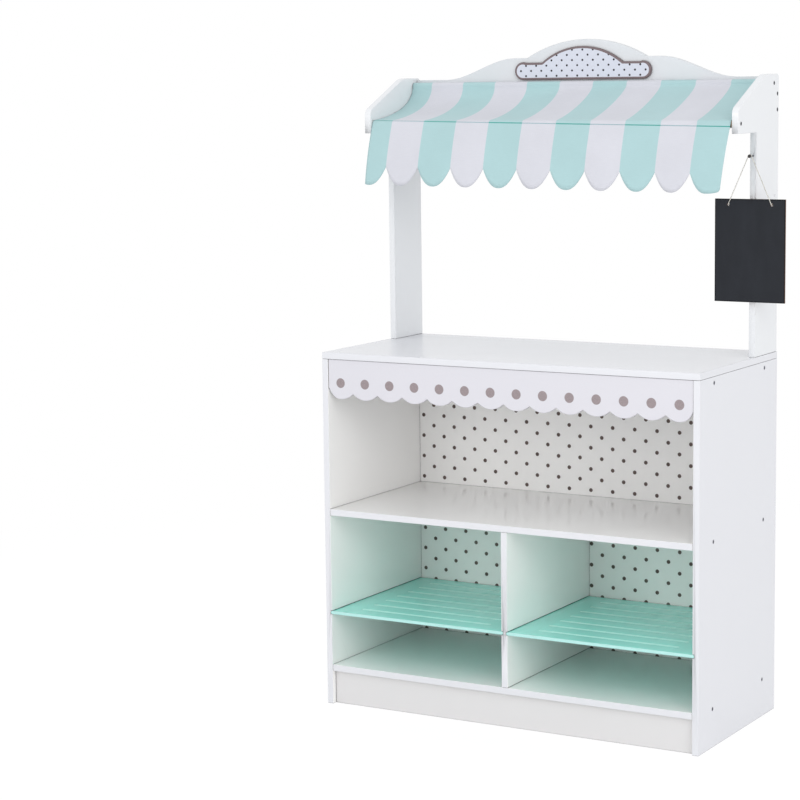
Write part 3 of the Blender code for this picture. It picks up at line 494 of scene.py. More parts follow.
def cloth_material(awning):
    """Striped cotton: mint at both ends, the stripes woven in, laid out on the flat cut."""
    w = Finish("Striped awning cloth", 0.88, Sheen_Weight=0.15, Sheen_Roughness=0.5)
    place = w.made("ShaderNodeUVMap", uv_map="flat_cut")
    weave = w.effect(weave_group(), Place=place, Yarn=awning.yarn, Slub=0.35)
    across = w.split(place)[0]
    fuzz = w.scaled(w.noise(place, 2200.0), 0.0005, -0.00025)
    from_edge = w.sums("SUBTRACT", w.sums("ADD", across, fuzz), FIRST_STRIPE_EDGE)
    turn = w.sums("FRACT", w.sums("DIVIDE", from_edge, 2 * STRIPE))
    white_share = w.ramp(w.sums("ABSOLUTE", w.sums("SUBTRACT", turn, 0.25)), 0.249, 0.251, 1.0, 0.0)
    colour = w.mix(white_share, awning.mint, awning.white)
    # Painted shade: along the seam rows the cloth takes the darker seam colours.
    sunk = w.mix(white_share, awning.seam, awning.white_seam_shade)
    colour = w.mix(w.add("ShaderNodeAttribute", attribute_name="seam").outputs["Fac"], colour, sunk)
    blotch = w.ramp(w.noise(place, 9.0, 3.0), 0.3, 0.7, 0.975, 1.02)
    colour = w.brighten(colour, w.times(blotch, weave["Shade"]))
    creases = w.noise(w.vectors("MULTIPLY", place, (26, 9, 1)), 1.0, 3.0, 0.55)
    return w.surface(colour, w.scaled(creases, 12.0, weave["Height"]), 0.00012, 0.6)


def plain_cloth_material(awning):
    """The pocket's lining cloth, the same weave without stripes."""
    w = Finish("Pocket cloth", 0.9)
    weave = w.effect(weave_group(), Place=w.here(), Yarn=awning.yarn, Slub=0.35)
    return w.surface(w.brighten(awning.white, weave["Shade"]), weave["Height"], 0.0001)


def fibre_material(name, colour, shades, scale, texture, height, roughness, **sockets):
    """Fine fibres drawn out along an axis of the object, from a dark to a pale shade of the colour."""
    w = Finish(name, roughness, **sockets)
    fibres = w.noise(w.here(scale=scale), 1.0, *texture)
    return w.surface(w.mottle(colour, fibres, *shades), fibres, height)


def steel_material(name, colour, roughness, wear=0.12):
    """Plated steel with turning marks and a few dull spots."""
    w = Finish(name, Metallic=1.0)
    spots = w.noise(w.here(), 700.0, 4.0, 0.6)
    tone = w.brighten(colour, w.ramp(spots, 0.3, 0.75, 1.08, 0.82))
    marks = w.noise(w.here(scale=(1800, 1800, 1800)), 1.0)
    return w.surface(tone, marks, 0.00002, roughness=w.scaled(spots, wear * 2, roughness - wear))


def wood_material(hardware):
    w = Finish("Turned beech", 0.55)
    grain = w.effect(grain_group(), Pale=hardware.wood, Dark=hardware.grain)
    roughness = w.ramp(grain["Height"], 0.3, 0.7, 0.48, 0.64)
    return w.surface(grain["Colour"], grain["Height"], 0.00006, roughness=roughness)


def slate_material(chalkboard):
    """Chalkboard paint: wiped chalk haze in the middle, a cleaner band along the rim."""
    w = Finish("Chalkboard slate", Specular_IOR_Level=0.12)
    low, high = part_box("chalkboard")
    place = w.here()
    across, _, up = w.split(place)
    distances = []
    for value, start, end in ((across, low.x, high.x), (up, low.z, high.z)):
        distances += [w.sums("SUBTRACT", value, start), w.sums("SUBTRACT", end, value)]
    to_rim = w.sums("MINIMUM", w.sums("MINIMUM", *distances[:2]), w.sums("MINIMUM", *distances[2:]))
    inner = w.ramp(to_rim, 0.0019, 0.0024)
    wiped = w.noise(w.here(scale=(38, 38, 9)), 1.0, 5.0, 0.6)
    clouds = w.noise(place, 16.0, 3.0)
    haze = w.times(w.ramp(w.times(wiped, clouds), 0.14, 0.42), 0.34)
    colour = w.mix(w.times(haze, inner), chalkboard.slate, chalkboard.chalk)
    colour = w.brighten(colour, w.ramp(inner, 0.0, 1.0, 0.55, 1.0))
    roughness = w.ramp(haze, 0.0, 0.34, 0.5, 0.72)
    return w.surface(colour, w.noise(place, 1500.0, 2.0), 0.00004, roughness=roughness)


# Pieces


def mesh_from(name, shape):
    """A mesh of a bmesh, which is freed."""
    mesh = bpy.data.meshes.new(name)
    shape.to_mesh(mesh)
    shape.free()
    return mesh


def place_object(name, data):
    made = bpy.data.objects.new(name, data)
    bpy.context.scene.collection.objects.link(made)
    return made


def add_piece(name, shape, body, materials, replaced=(), sharp_from=None):
    """A smooth piece that rides on a body and stands for the CAD nodes it replaces.
    With an angle in degrees, edges from that angle stay sharp and broad faces stay flat."""
    mesh = mesh_from(name, shape)
    for material in materials:
        mesh.materials.append(material)
    piece = place_object(name, mesh)
    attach(piece, body)
    if replaced:
        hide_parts(*replaced)
    mesh.shade_smooth()
    if sharp_from:
        mesh.set_sharp_from_angle(angle=math.radians(sharp_from))
        weighted = piece.modifiers.new("weighted_normals", "WEIGHTED_NORMAL")
        weighted.keep_sharp = True
    return piece


def node_shape(node):
    """A copy of a CAD node's mesh with its loose triangles joined."""
    shape = bmesh.new()
    shape.from_mesh(frame["nodes"][node].data)
    bmesh.ops.remove_doubles(shape, verts=shape.verts, dist=0.000001)
    for face in shape.faces:
        face.material_index = 0
    return shape


def dress_node(node, finish, paints, second=None):
    """A painted copy of a cabinet node. Faces whose normal passes the second test take the second paint."""
    shape = node_shape(node)
    for face in shape.faces:
        face.material_index = int(second is not None and second(face.normal))
    add_piece(f"{finish}_{node}", shape, "cabinet", paints, [node], 50)


def join_shape(whole, part):
    """Adds a part to a whole shape, and frees the part."""
    mesh = mesh_from("part", part)
    whole.from_mesh(mesh)
    bpy.data.meshes.remove(mesh)


def of_kind(items, kind):
    return [item for item in items if isinstance(item, kind)]


def turned_shape(profile, steps=24):
    """Spins (radius, height) points round Z into a closed solid."""
    shape = bmesh.new()
    verts = [shape.verts.new((radius, 0, height)) for radius, height in profile]
    edges = [shape.edges.new(pair) for pair in zip(verts, verts[1:])]
    bmesh.ops.spin(
        shape, geom=verts + edges, cent=(0, 0, 0), axis=(0, 0, 1), angle=2 * math.pi,
        steps=steps, use_merge=True,
    )
    bmesh.ops.remove_doubles(shape, verts=shape.verts, dist=0.000001)
    bmesh.ops.recalc_face_normals(shape, faces=shape.faces)
    return shape


def tube_along(shape, points, radius, sides=8):
    """A round tube along points, closed at both ends, added to the shape."""
    ring = bmesh.ops.create_circle(shape, cap_ends=True, segments=sides, radius=radius)["verts"]
    forward = (points[1] - points[0]).normalized()
    turn = Vector((0, 0, 1)).rotation_difference(forward).to_matrix().to_4x4()
    bmesh.ops.transform(shape, matrix=Matrix.Translation(points[0]) @ turn, verts=ring)
    face = next(face for face in ring[0].link_faces if all(vert in ring for vert in face.verts))
    for index in range(1, len(points)):
        following = points[min(index + 1, len(points) - 1)]
        heading = (following - points[index - 1]).normalized()
        made = bmesh.ops.extrude_face_region(shape, geom=[face])["geom"]
        ring = of_kind(made, BMVert)
        old = face
        face = of_kind(made, BMFace)[0]
        if index > 1:
            bmesh.ops.delete(shape, geom=[old], context="FACES_ONLY")
        turn = forward.rotation_difference(heading).to_matrix().to_4x4()
        place = Matrix.Translation(points[index]) @ turn @ Matrix.Translation(-points[index - 1])
        bmesh.ops.transform(shape, matrix=place, verts=ring)
        forward = heading
    bmesh.ops.recalc_face_normals(shape, faces=shape.faces)


class TOYSTAND_OT_boards(bpy.types.Operator):
    """Paint the cabinet's boards, uprights and header white"""

    bl_idname = "toy_stand.boards"
    bl_label = "Painted Boards"

    def execute(self, context):
        boards = context.scene.toy_stand.boards
        white = painted_material("White board paint", boards.white, boards)
        # The header takes a darker copy of the board white as painted shade.
        header = painted_material("Header paint with painted shade", boards.arch, boards, gloss=0.4)
        # Inside faces take the lighter inside white, which paints light into the cabinet.
        inside = painted_material("Inside paint with painted light", boards.inner, boards, gloss=0.16)
        hidden = painted_material("Rail paint", boards.white, boards, gloss=0.45)
        # The plinth takes its darker, warmer copy of the board white as painted shade.
        plinth = painted_material("Plinth paint with painted shade", boards.low, boards, gloss=0.4)
        # The uprights take a lighter copy of the board white as painted light.
        # The uprights take no painted shade in their corners and gaps.
        standing = painted_material("Upright paint with painted light", boards.upright, boards, crease_shade=0.0)
        both = [white, inside]
        for finish, paints, second, nodes in (
            ("painted", [white], None, ["counter_top"]),
            ("painted", [plinth], None, ["plinth"]),
            ("painted", [standing], None, ["left_upright", "right_upright"]),
            ("painted", both, lambda normal: normal.x > 0.9, ["left_side_panel"]),
            ("painted", both, lambda normal: normal.x < -0.9, ["right_side_panel"]),
            (
                "painted", both, lambda normal: normal.y > -0.6,
                ["middle_shelf", "bottom_panel", "centre_divider"],
            ),
            ("arched", [header], None, ["header_board"]),
            ("hidden", [hidden], None, ["front_top_rail", "rear_top_rail"]),
        ):
            for node in nodes:
                dress_node(node, finish, paints, second)
        add_piece(
            "upright_cover_caps", cap_pair(), "cabinet", [white], sharp_from=30
        )
        return {"FINISHED"}


def cap_pair():
    """The round covers over a hole in the outer face of each upright."""
    profile = [
        (0, 0), (0.0024, 0), (0.0026, 0.0002), (0.0024, 0.0005), (0.0017, 0.0006),
        (0.0014, 0.0004), (0, 0.0004),
    ]
    face_x, hole_y, hole_z = 0.374, 0.1585, 0.9433
    caps = bmesh.new()
    for side in (-1, 1):
        cap = turned_shape(profile, 20)
        turn = Matrix.Rotation(math.radians(90 * side), 4, "Y")
        cap.transform(Matrix.Translation((MIDDLE_X + face_x * side, hole_y, hole_z)) @ turn)
        join_shape(caps, cap)
    return caps


class TOYSTAND_OT_backs(bpy.types.Operator):
    """Print the two back panels with staggered rows of small dots"""

    bl_idname = "toy_stand.backs"
    bl_label = "Dotted Backs"

    def execute(self, context):
        boards = context.scene.toy_stand.boards
        pitch, rise = 0.0454, 0.0406
        for node, origin in (("upper_back_panel", (0.0095, 0.5034)), ("lower_back_panel", (0.0106, 0.238))):
            place = (origin[0] + MIDDLE_X, origin[1])
            dots = (boards.back_dot, boards.back_dot_size, pitch, rise, place)
            # The panels' ground is the inside white, the lighter copy of the board white that paints light
            # into the cabinet.
            material = painted_material(
                f"Dotted print {node}", boards.inner, boards, gloss=0.45, wear=0.1, dots=dots
            )
            dress_node(node, "dotted", [material])
        return {"FINISHED"}


class TOYSTAND_OT_apron(bpy.types.Operator):
    """Paint the scalloped apron and its row of large dots"""

    bl_idname = "toy_stand.apron"
    bl_label = "Scalloped Apron"

    def execute(self, context):
        boards = context.scene.toy_stand.boards
        low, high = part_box("scalloped_apron")
        pitch = (high.x - low.x) / 14
        dots = (boards.apron_dot, boards.apron_dot_size, pitch, 0.4, (low.x + pitch / 2, 0.6065))
        material = painted_material("Apron paint", boards.lilac, boards, gloss=0.36, dots=dots)
        dress_node("scalloped_apron", "painted", [material])
        return {"FINISHED"}


class TOYSTAND_OT_trays(bpy.types.Operator):
    """Paint the two sliding trays in mint gloss"""

    bl_idname = "toy_stand.trays"
    bl_label = "Sliding Trays"

    def execute(self, context):
        settings = context.scene.toy_stand
        paints = [
            painted_material(
                name, colour, settings.boards, gloss=settings.trays.gloss, wear=0.1, drift=0.05,
                Coat_Weight=0.6, Coat_Roughness=0.15,
            )
            for name, colour in (
                ("Mint gloss paint", settings.trays.mint), ("Cove paint with painted highlight", settings.trays.cove_highlight),
                ("Tray edge paint with painted highlight", settings.trays.edge),
            )
        ]
        for side in ("left", "right"):
            body = f"{side}_tray"
            shape = node_shape(body)
            low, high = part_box(body)
            for face in shape.faces:
                middle = face.calc_center_median()
                # Faces along the front take the paler edge mint, a painted highlight on the rounded front
                # edge.
                in_front = middle.y < low.y + 0.0015
                # Faces in the coves take the paler cove mint, a painted highlight on their walls.
                in_cove = face.normal.z > 0.5 and middle.z < high.z - 0.00005
                face.material_index = 2 if in_front else int(in_cove)
            add_piece(f"gloss_{side}_tray", shape, body, paints, [body], 50)
        return {"FINISHED"}


class TOYSTAND_OT_sign(bpy.types.Operator):
    """Print the bone-shaped sign with a taupe border and small dots"""

    bl_idname = "toy_stand.sign"
    bl_label = "Sign"

    def execute(self, context):
        settings = context.scene.toy_stand
        sign = settings.sign
        border = painted_material("Sign border", sign.border, settings.boards, gloss=0.45, wear=0.1)
        dots = (sign.dot, 0.0040, 0.0213, 0.019, (MIDDLE_X - 0.0045, 1.1687))
        face = painted_material("Sign print", sign.face, settings.boards, gloss=0.45, wear=0.0, dots=dots)
        shape = node_shape("sign_plate")
        bmesh.ops.dissolve_limit(
            shape, angle_limit=math.radians(1), verts=shape.verts, edges=shape.edges
        )
        front = [item for item in shape.faces if item.normal.y < -0.99]
        bmesh.ops.inset_region(shape, faces=front, thickness=sign.line, use_even_offset=True)
        for item in front:
            item.material_index = 1
        add_piece(
            "printed_sign_plate", shape, "cabinet", [border, face],
            ["sign_plate"], 50,
        )
        return {"FINISHED"}


def round_dowel(dowel, angle):
    """A point of the cloth's middle layer on a dowel, in (Y, Z)."""
    return dowel + CLOTH_REACH * Vector((math.cos(angle), math.sin(angle)))


def cloth_section(across):
    """The cloth's middle layer at this X, from its rear hem over both dowels to the lobes' tips."""
    taut = smooth_share((across + 0.22) / 0.34)
    arrival = math.radians(between(*FRONT_ARRIVAL, taut))
    hem, leave = math.radians(HEM_START), math.radians(REAR_LEAVE)
    points = [round_dowel(REAR_DOWEL, between(hem, leave, i / 24)) for i in range(25)]
    start, end = points[-1], round_dowel(FRONT_DOWEL, arrival)
    first = start - Vector((0, between(*REAR_PULL, taut)))
    second = end + Vector((math.sin(arrival), -math.cos(arrival))) * between(*FRONT_PULL, taut)
    for i in range(1, 31):
        t = i / 30
        s = 1 - t
        point = s**3 * start + 3 * s * s * t * first + 3 * s * t * t * second + t**3 * end
        points.append(point - Vector((0, left_dent(across, t) * math.sin(math.pi * t))))
    fall = front_fall(across, arrival)
    seam, length = seam_distance(fall, across)
    points += [along_route(fall, (seam - SEAM_WIDTH) * i / 6)[0] for i in range(1, 7)]
    for place in (seam - SEAM_WIDTH / 2, seam + SEAM_WIDTH / 2):
        point, inward = along_route(fall, place)
        points.append(point + SEAM_DEPTH * inward)
    far = seam + SEAM_WIDTH
    points += [along_route(fall, far + (length - far) * (i / 20) ** 1.5)[0] for i in range(20)]
    return points + [fall[-1]]


def smooth_share(value):
    """0 below 0, 1 above 1, and a smooth step between."""
    share = min(max(value, 0), 1)
    return share * share * (3 - 2 * share)


def between(low, high, share):
    return low + (high - low) * share


def left_dent(across, share):
    """The depth of the soft dent near the awning's left end, at this share of the way between the dowels."""
    from_middle = (across + 0.262 + 0.05 * share) / 0.022
    return 0.006 * math.exp(-from_middle**2 - ((share - 0.38) / 0.2) ** 2)


def front_fall(across, arrival):
    """The middle layer in small steps from the top of the front dowel to the lobe's tip."""
    leaving = math.radians(FRONT_LEAVE)
    points = [round_dowel(FRONT_DOWEL, between(arrival, leaving, i / 16)) for i in range(17)]
    leave = points[-1]
    bottom = hem_height(across)
    full = leave.y - VALANCE_BOTTOM + 0.008
    for i in range(1, 41):
        t = i / 40 * (leave.y - bottom) / full
        forward = full * t * math.tan(math.pi - leaving) + 0.004 * math.sin(math.pi * t)
        points.append(leave - Vector((forward + swell(across, t), full * t)))
    return points


def along_route(route, distance):
    """The point this far along a route of (Y, Z) points, and the way inward from it."""
    for near, far in zip(route, route[1:]):
        span = (far - near).length
        if distance <= span:
            heading = (far - near) / span
            return near + heading * distance, Vector((-heading.y, heading.x))
        distance -= span
    return route[-1], Vector((0, 0))


def seam_distance(fall, across):
    """How far along the fall the front seam lies, which sinks from left to right, and the fall's length."""
    height = FRONT_DOWEL.y + 0.0009 - SEAM_FALL * across
    seam = gone = 0.0
    for near, far in zip(fall, fall[1:]):
        span = (far - near).length
        if near.y > height >= far.y:
            seam = gone + span * (near.y - height) / (near.y - far.y)
        gone += span
    return seam, gone


def swell(across, fallen):
    """How far the valance stands forward of its smooth fall: each lobe cups, and long folds cross it."""
    ripple = bpy.context.scene.toy_stand.awning.ripple
    lobe = math.cos(2 * math.pi * (across - FIRST_STRIPE_EDGE) / STRIPE)
    folds = math.sin(19 * across + 0.6) + 0.6 * math.sin(47 * across + 2.1)
    return ripple * fallen**1.5 * (0.5 * (1 - lobe) + 0.9 * folds)


def hem_height(across):
    """The height of the valance's lobed edge at this X."""
    lobe = (across - FIRST_STRIPE_EDGE) / STRIPE
    from_middle = abs(2 * (lobe - math.floor(lobe)) - 1)
    if lobe > 9.5:
        from_middle *= LAST_LOBE_SHARE
    height = VALANCE_BOTTOM - VALANCE_SLOPE * across + LOBE_RISE * from_middle**2.25
    over = min(max((across - AWNING_RIGHT + CORNER_RADIUS) / CORNER_RADIUS, 0), 1)
    return height + CORNER_RADIUS * (1 - math.sqrt(1 - over * over))


def drift(across, up):
    """How far the valance's right end is drawn in towards the middle."""
    drop, most = 0.1153, 0.007
    hanging = (FRONT_DOWEL.y - up) / drop
    outer = (across / AWNING_RIGHT - 0.4) / 0.6
    return most * max(hanging, 0) * max(outer, 0) ** 2


def cloth_columns():
    """X of each column of the cloth's mesh, with one on every notch between lobes."""
    edges = [AWNING_LEFT, FIRST_STRIPE_EDGE]
    while edges[-1] + STRIPE < AWNING_RIGHT:
        edges.append(edges[-1] + STRIPE)
    edges.append(AWNING_RIGHT)
    columns = [edges[0]]
    for near, far in zip(edges, edges[1:]):
        steps = max(round((far - near) / 0.0034), 8)
        for i in range(1, steps + 1):
            share = i / steps
            if far == AWNING_RIGHT:
                share = math.sin(share * math.pi / 2) ** 0.8
            columns.append(near + (far - near) * share)
    return columns


def lay_sheet(columns, section, seam_rows=()):
    """A cloth sheet with its flat cut as UV, and the flat cut's area and greatest length."""
    shape = bmesh.new()
    flat = shape.loops.layers.uv.new("flat_cut")
    seam = shape.verts.layers.float.new("seam")
    rows, cuts = [], []
    for across in columns:
        points = section(across)
        rows.append([
            shape.verts.new((across + MIDDLE_X - drift(across, up), along, up)) for along, up in points
        ])
        # Seam rows are marked 1 for the painted shade along the front seam.
        for row in seam_rows:
            rows[-1][row][seam] = 1
        cut = [0.0]
        for near, far in zip(points, points[1:]):
            cut.append(cut[-1] + (far - near).length)
        cuts.append(cut)
    area = 0.0
    for i in range(len(columns) - 1):
        for j in range(len(rows[i]) - 1):
            corners = ((i, j), (i + 1, j), (i + 1, j + 1), (i, j + 1))
            face = shape.faces.new([rows[a][b] for a, b in corners])
            for loop, (a, b) in zip(face.loops, corners):
                loop[flat].uv = (columns[a], cuts[a][b])
            mean = (cuts[i][j + 1] - cuts[i][j] + cuts[i + 1][j + 1] - cuts[i + 1][j]) / 2
            area += (columns[i + 1] - columns[i]) * mean
    bmesh.ops.recalc_face_normals(shape, faces=shape.faces)
    return shape, area, max(cut[-1] for cut in cuts)


def thicken_cloth(piece, thickness):
    wall = piece.modifiers.new("cloth", "SOLIDIFY")
    wall.thickness = thickness
    wall.offset = 0
    wall.use_even_offset = True


def pocket_section(across):
    """The strip that closes the front dowel's pocket, under the dowel, from the canopy to the valance."""
    section = cloth_section(across)
    canopy = min(section[28:56], key=lambda point: abs(point.x - CLOTH_REACH))
    under = [round_dowel(FRONT_DOWEL, math.radians(angle)) for angle in range(0, -91, -15)]
    below_seam = section[SEAM_ROWS[1] + 2:]
    foot = min(below_seam, key=lambda point: abs(point.y - (FRONT_DOWEL.y - CLOTH_REACH)))
    return [canopy - Vector((0, 0.0009))] + under + [foot + Vector((0.0009, 0))]


class TOYSTAND_OT_awning(bpy.types.Operator):
    """Hang the striped awning over its two dowels, with its lobes and the seam along the front"""

    bl_idname = "toy_stand.awning"
    bl_label = "Awning"

    def execute(self, context):
        awning = context.scene.toy_stand.awning
        columns = cloth_columns()
        shape, area, length = lay_sheet(columns, cloth_section, SEAM_ROWS)
        cloth = add_piece(
            "striped_awning", shape, "cabinet", [cloth_material(awning)], ["awning"]
        )
        thicken_cloth(cloth, awning.thickness)
        ends = AWNING_LEFT + 0.001, AWNING_RIGHT - 0.001
        strip, _, _ = lay_sheet([between(*ends, i / 24) for i in range(25)], pocket_section)
        lining = plain_cloth_material(awning)
        pocket = add_piece("awning_pocket", strip, "cabinet", [lining])
        thicken_cloth(pocket, awning.thickness)
        thread = fibre_material(
            "Polyester thread", awning.thread, shades=(0.85, 1.1), scale=(2600, 900, 900), texture=(2.0,),
            height=0.00005, roughness=0.55, Sheen_Weight=0.2,
        )
        stitches = add_piece(
            "awning_stitches", stitch_row(awning), "cabinet", [thread]
        )
        return {"FINISHED"}


def stitch_row(awning):
    """One row of short stitches along the seam over the front dowel."""
    shape = bmesh.new()
    pitch, length, radius = 0.0032, 0.0012, 0.00028
    count = int((AWNING_RIGHT - AWNING_LEFT - 0.004) / pitch)
    for i in range(count):
        across = AWNING_LEFT + 0.002 + pitch * (i + 0.5)
        section = cloth_section(across)
        lower, upper = (section[row] for row in SEAM_ROWS)
        inward = Vector((lower.y - upper.y, upper.x - lower.x)).normalized()
        place = (lower + upper) / 2 - inward * (awning.thickness / 2 + 0.0002)
        turn = Matrix.Rotation(math.radians(90), 4, "Y")
        size = Matrix.Diagonal((1, 1, length / radius, 1))
        drawn = across + MIDDLE_X - drift(across, place.y)
        where = Matrix.Translation((drawn, place.x, place.y)) @ turn @ size
        bmesh.ops.create_uvsphere(shape, u_segments=6, v_segments=5, radius=radius, matrix=where)
    return shape


class TOYSTAND_OT_dowels(bpy.types.Operator):
    """Give the dowels and pins their wood grain"""

    bl_idname = "toy_stand.dowels"
    bl_label = "Dowels and Pins"

    def execute(self, context):
        wood = wood_material(context.scene.toy_stand.hardware)
        for name, node in frame["nodes"].items():
            if name.endswith("awning_dowel") or "_pin_" in name:
                node.data.materials.clear()
                node.data.materials.append(wood)
        return {"FINISHED"}


def screw_shape(shape, node, heading):
    """A cross-head screw in the place of a CAD screw, its head towards the heading."""
    low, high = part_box(node)
    centre = (low + high) / 2
    length = max(high - low)
    top = centre + heading * length / 2
    screw = bmesh.new()
    radius, depth = 0.0035, 0.0012
    bmesh.ops.create_circle(screw, segments=24, radius=radius)
    arm, half = 0.0019, 0.00042
    cross = []
    for quarter in range(4):
        turn = Matrix.Rotation(math.radians(90 * quarter), 4, "Z")
        for corner in ((arm, -half, 0), (arm, half, 0), (half, half, 0)):
            cross.append(screw.verts.new(turn @ Vector(corner)))
    ring = [screw.edges.new((cross[i], cross[(i + 1) % 12])) for i in range(12)]
    outer = [edge for edge in screw.edges if edge not in ring]
    bmesh.ops.triangle_fill(screw, edges=outer + ring, use_beauty=True)
    bmesh.ops.delete(
        screw, context="FACES_ONLY",
        geom=[face for face in screw.faces if all(vert in cross for vert in face.verts)],
    )
    made = bmesh.ops.extrude_edge_only(screw, edges=ring)["geom"]
    sunk = of_kind(made, BMVert)
    bmesh.ops.scale(screw, vec=(0.35, 0.35, 1), verts=sunk)
    bmesh.ops.translate(screw, vec=(0, 0, -depth), verts=sunk)
    bmesh.ops.contextual_create(screw, geom=of_kind(made, BMEdge))
    profile = ((1.0, 0.0003), (0.5, 0.0022), (0.5, length), (0.1, length))
    for share, down in profile:
        made = bmesh.ops.extrude_edge_only(screw, edges=outer)["geom"]
        outer = of_kind(made, BMEdge)
        for vert in of_kind(made, BMVert):
            flat = Vector((vert.co.x, vert.co.y, 0)).normalized() * radius * share
            vert.co = (flat.x, flat.y, -down)
    bmesh.ops.contextual_create(screw, geom=outer)
    bmesh.ops.recalc_face_normals(screw, faces=screw.faces)
    turn = Vector((0, 0, 1)).rotation_difference(heading).to_matrix().to_4x4()
    screw.transform(Matrix.Translation(top) @ turn)
    join_shape(shape, screw)


class TOYSTAND_OT_screws(bpy.types.Operator):
    """Drive the cross-head screws into the sides, wings and rails"""

    bl_idname = "toy_stand.screws"
    bl_label = "Screws"

    def execute(self, context):
        hardware = context.scene.toy_stand.hardware
        steel = steel_material("Zinc-plated steel", hardware.steel, 0.32)
        # The wing screws take a darker copy of the same steel as painted shade.
        dull = steel_material("Steel darkened on the wing screws as painted shade", hardware.dull, 0.4)
        for first, heading, metal in (
            ("left_cabinet_screw", (-1, 0, 0), steel), ("right_cabinet_screw", (1, 0, 0), steel),
            ("left_wing_screw", (-1, 0, 0), dull), ("right_wing_screw", (1, 0, 0), dull),
            ("counter_screw", (0, 0, -1), steel),
        ):
            nodes = sorted(name for name in frame["nodes"] if name.startswith(first))
            shape = bmesh.new()
            for node in nodes:
                screw_shape(shape, node, Vector(heading))
            add_piece(f"cross_head_{first}s", shape, "cabinet", [metal], nodes, 35)
        return {"FINISHED"}


def on_hook(angle):
    """A point of the string's wrap round the hook, from the hook's axis."""
    return Vector((STRING_WRAP * math.cos(angle), 0, STRING_WRAP * math.sin(angle)))


def string_route():
    """The string's middle line from hole to hole over the hook, in metres."""
    hole = Vector((HOLE_OFFSET, 0, -STRING_DROP))
    lean = math.atan2(hole.z, hole.x) + math.acos(STRING_WRAP / hole.length)
    leave = on_hook(lean)
    down = (hole - leave).normalized()
    half = [hole + Vector((0, 0.001 + CHALK_THICKNESS, 0))]
    for i in range(9):
        angle = math.radians(90 - 11.25 * i)
        back = down * STRING_BEND * (1 - math.sin(angle))
        half.append(hole - back + Vector((0, STRING_BEND * (1 - math.cos(angle)), 0)))
    run = half[-1]
    half += [run.lerp(leave, i / 60) for i in range(1, 60)]
    over = [on_hook(between(lean, math.pi - lean, i / 12)) for i in range(13)]
    other = [Vector((-point.x, point.y, point.z)) for point in reversed(half)]
    hook = Vector((HOOK_X, STRING_Y, HOOK_HEIGHT))
    return [point + hook for point in half + over + other]


def evenly(points, step):
    """The same route with points an even distance apart."""
    result, left = [points[0]], step
    for near, far in zip(points, points[1:]):
        span = (far - near).length
        while left <= span:
            result.append(near.lerp(far, left / span))
            left += step
        left -= span
    result.append(points[-1])
    return result


class TOYSTAND_OT_string(bpy.types.Operator):
    """Hang the string with its two knots on the hook"""

    bl_idname = "toy_stand.string"
    bl_label = "Hook, String and Knots"

    def execute(self, context):
        hardware = context.scene.toy_stand.hardware
        cotton = fibre_material(
            "Cotton string", hardware.string, shades=(0.8, 1.08), scale=(2600, 2600, 700),
            texture=(3.0, 0.65), height=0.00008, roughness=0.85, Sheen_Weight=0.25,
        )
        step, string_radius, knot_radius = 0.00055, 0.0008, 0.00095
        route = evenly(string_route(), step)
        shape = bmesh.new()
        # Three tubes lie in one place, untwisted. The string's tone depends on it: one tube renders paler.
        for _ in range(3):
            tube_along(shape, route, string_radius, 6)
        add_piece("twisted_string", shape, "string", [cotton], ["hanging_string"])
        for side in ("left", "right"):
            node = f"{side}_string_knot"
            shape = bmesh.new()
            tube_along(shape, knot_route(node_middle(node)), knot_radius)
            body = frame["nodes"][node]["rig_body"]
            add_piece(f"tied_{node}", shape, body, [cotton], [node])
        steel = steel_material("Bright hook steel", hardware.steel, 0.25)
        bronze = steel_material("Dark hook head", hardware.bronze, 0.35)
        add_piece("peg_hook", hook_shape(), "cabinet", [steel, bronze], ["board_hook"], 40)
        return {"FINISHED"}


def hook_shape():
    """The straight hook with its round head, which takes the second metal."""
    profile = [
        (0, -0.0148), (0.0013, -0.0130), (0.0015, -0.0120), (0.0015, 0.0152), (0.0018, 0.0156),
        (0.0024, 0.0160), (0.0029, 0.0170), (0.0030, 0.0180), (0.0028, 0.0192), (0.0021, 0.0203),
        (0.0011, 0.0209), (0, 0.0210),
    ]
    head_length = 0.0055
    hook = turned_shape(profile)
    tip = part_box("board_hook")[0].y
    turn = Matrix.Rotation(math.radians(90), 4, "X")
    hook.transform(Matrix.Translation((HOOK_X, tip + profile[-1][1], HOOK_HEIGHT)) @ turn)
    for face in hook.faces:
        face.material_index = int(face.calc_center_median().y < tip + head_length)
    return hook


def knot_route(middle):
    """A small overhand knot, pressed flat behind the board."""
    width, depth = 0.00072, 0.0009
    points = []
    for i in range(61):
        t = 2 * math.pi * i / 60
        across = math.sin(t) + 2 * math.sin(2 * t)
        up = math.cos(t) - 2 * math.cos(2 * t)
        out = -math.sin(3 * t)
        points.append(middle + Vector((across * width, out * depth, up * width)))
    return points


class TOYSTAND_OT_chalkboard(bpy.types.Operator):
    """Finish the chalkboard with slate paint, a darker rim and a brown edge"""

    bl_idname = "toy_stand.chalkboard"
    bl_label = "Chalkboard"

    def execute(self, context):
        chalkboard = context.scene.toy_stand.chalkboard
        shape = node_shape("chalkboard")
        for face in shape.faces:
            face.material_index = int(face.normal.y >= -0.5)
        core = fibre_material(
            "Pressed wood edge", chalkboard.core, shades=(0.75, 1.25), scale=(420, 420, 1400),
            texture=(4.0, 0.7), height=0.00008, roughness=0.75,
        )
        paints = [slate_material(chalkboard), core]
        add_piece("slate_chalkboard", shape, "board", paints, ["chalkboard"], 30)
        return {"FINISHED"}


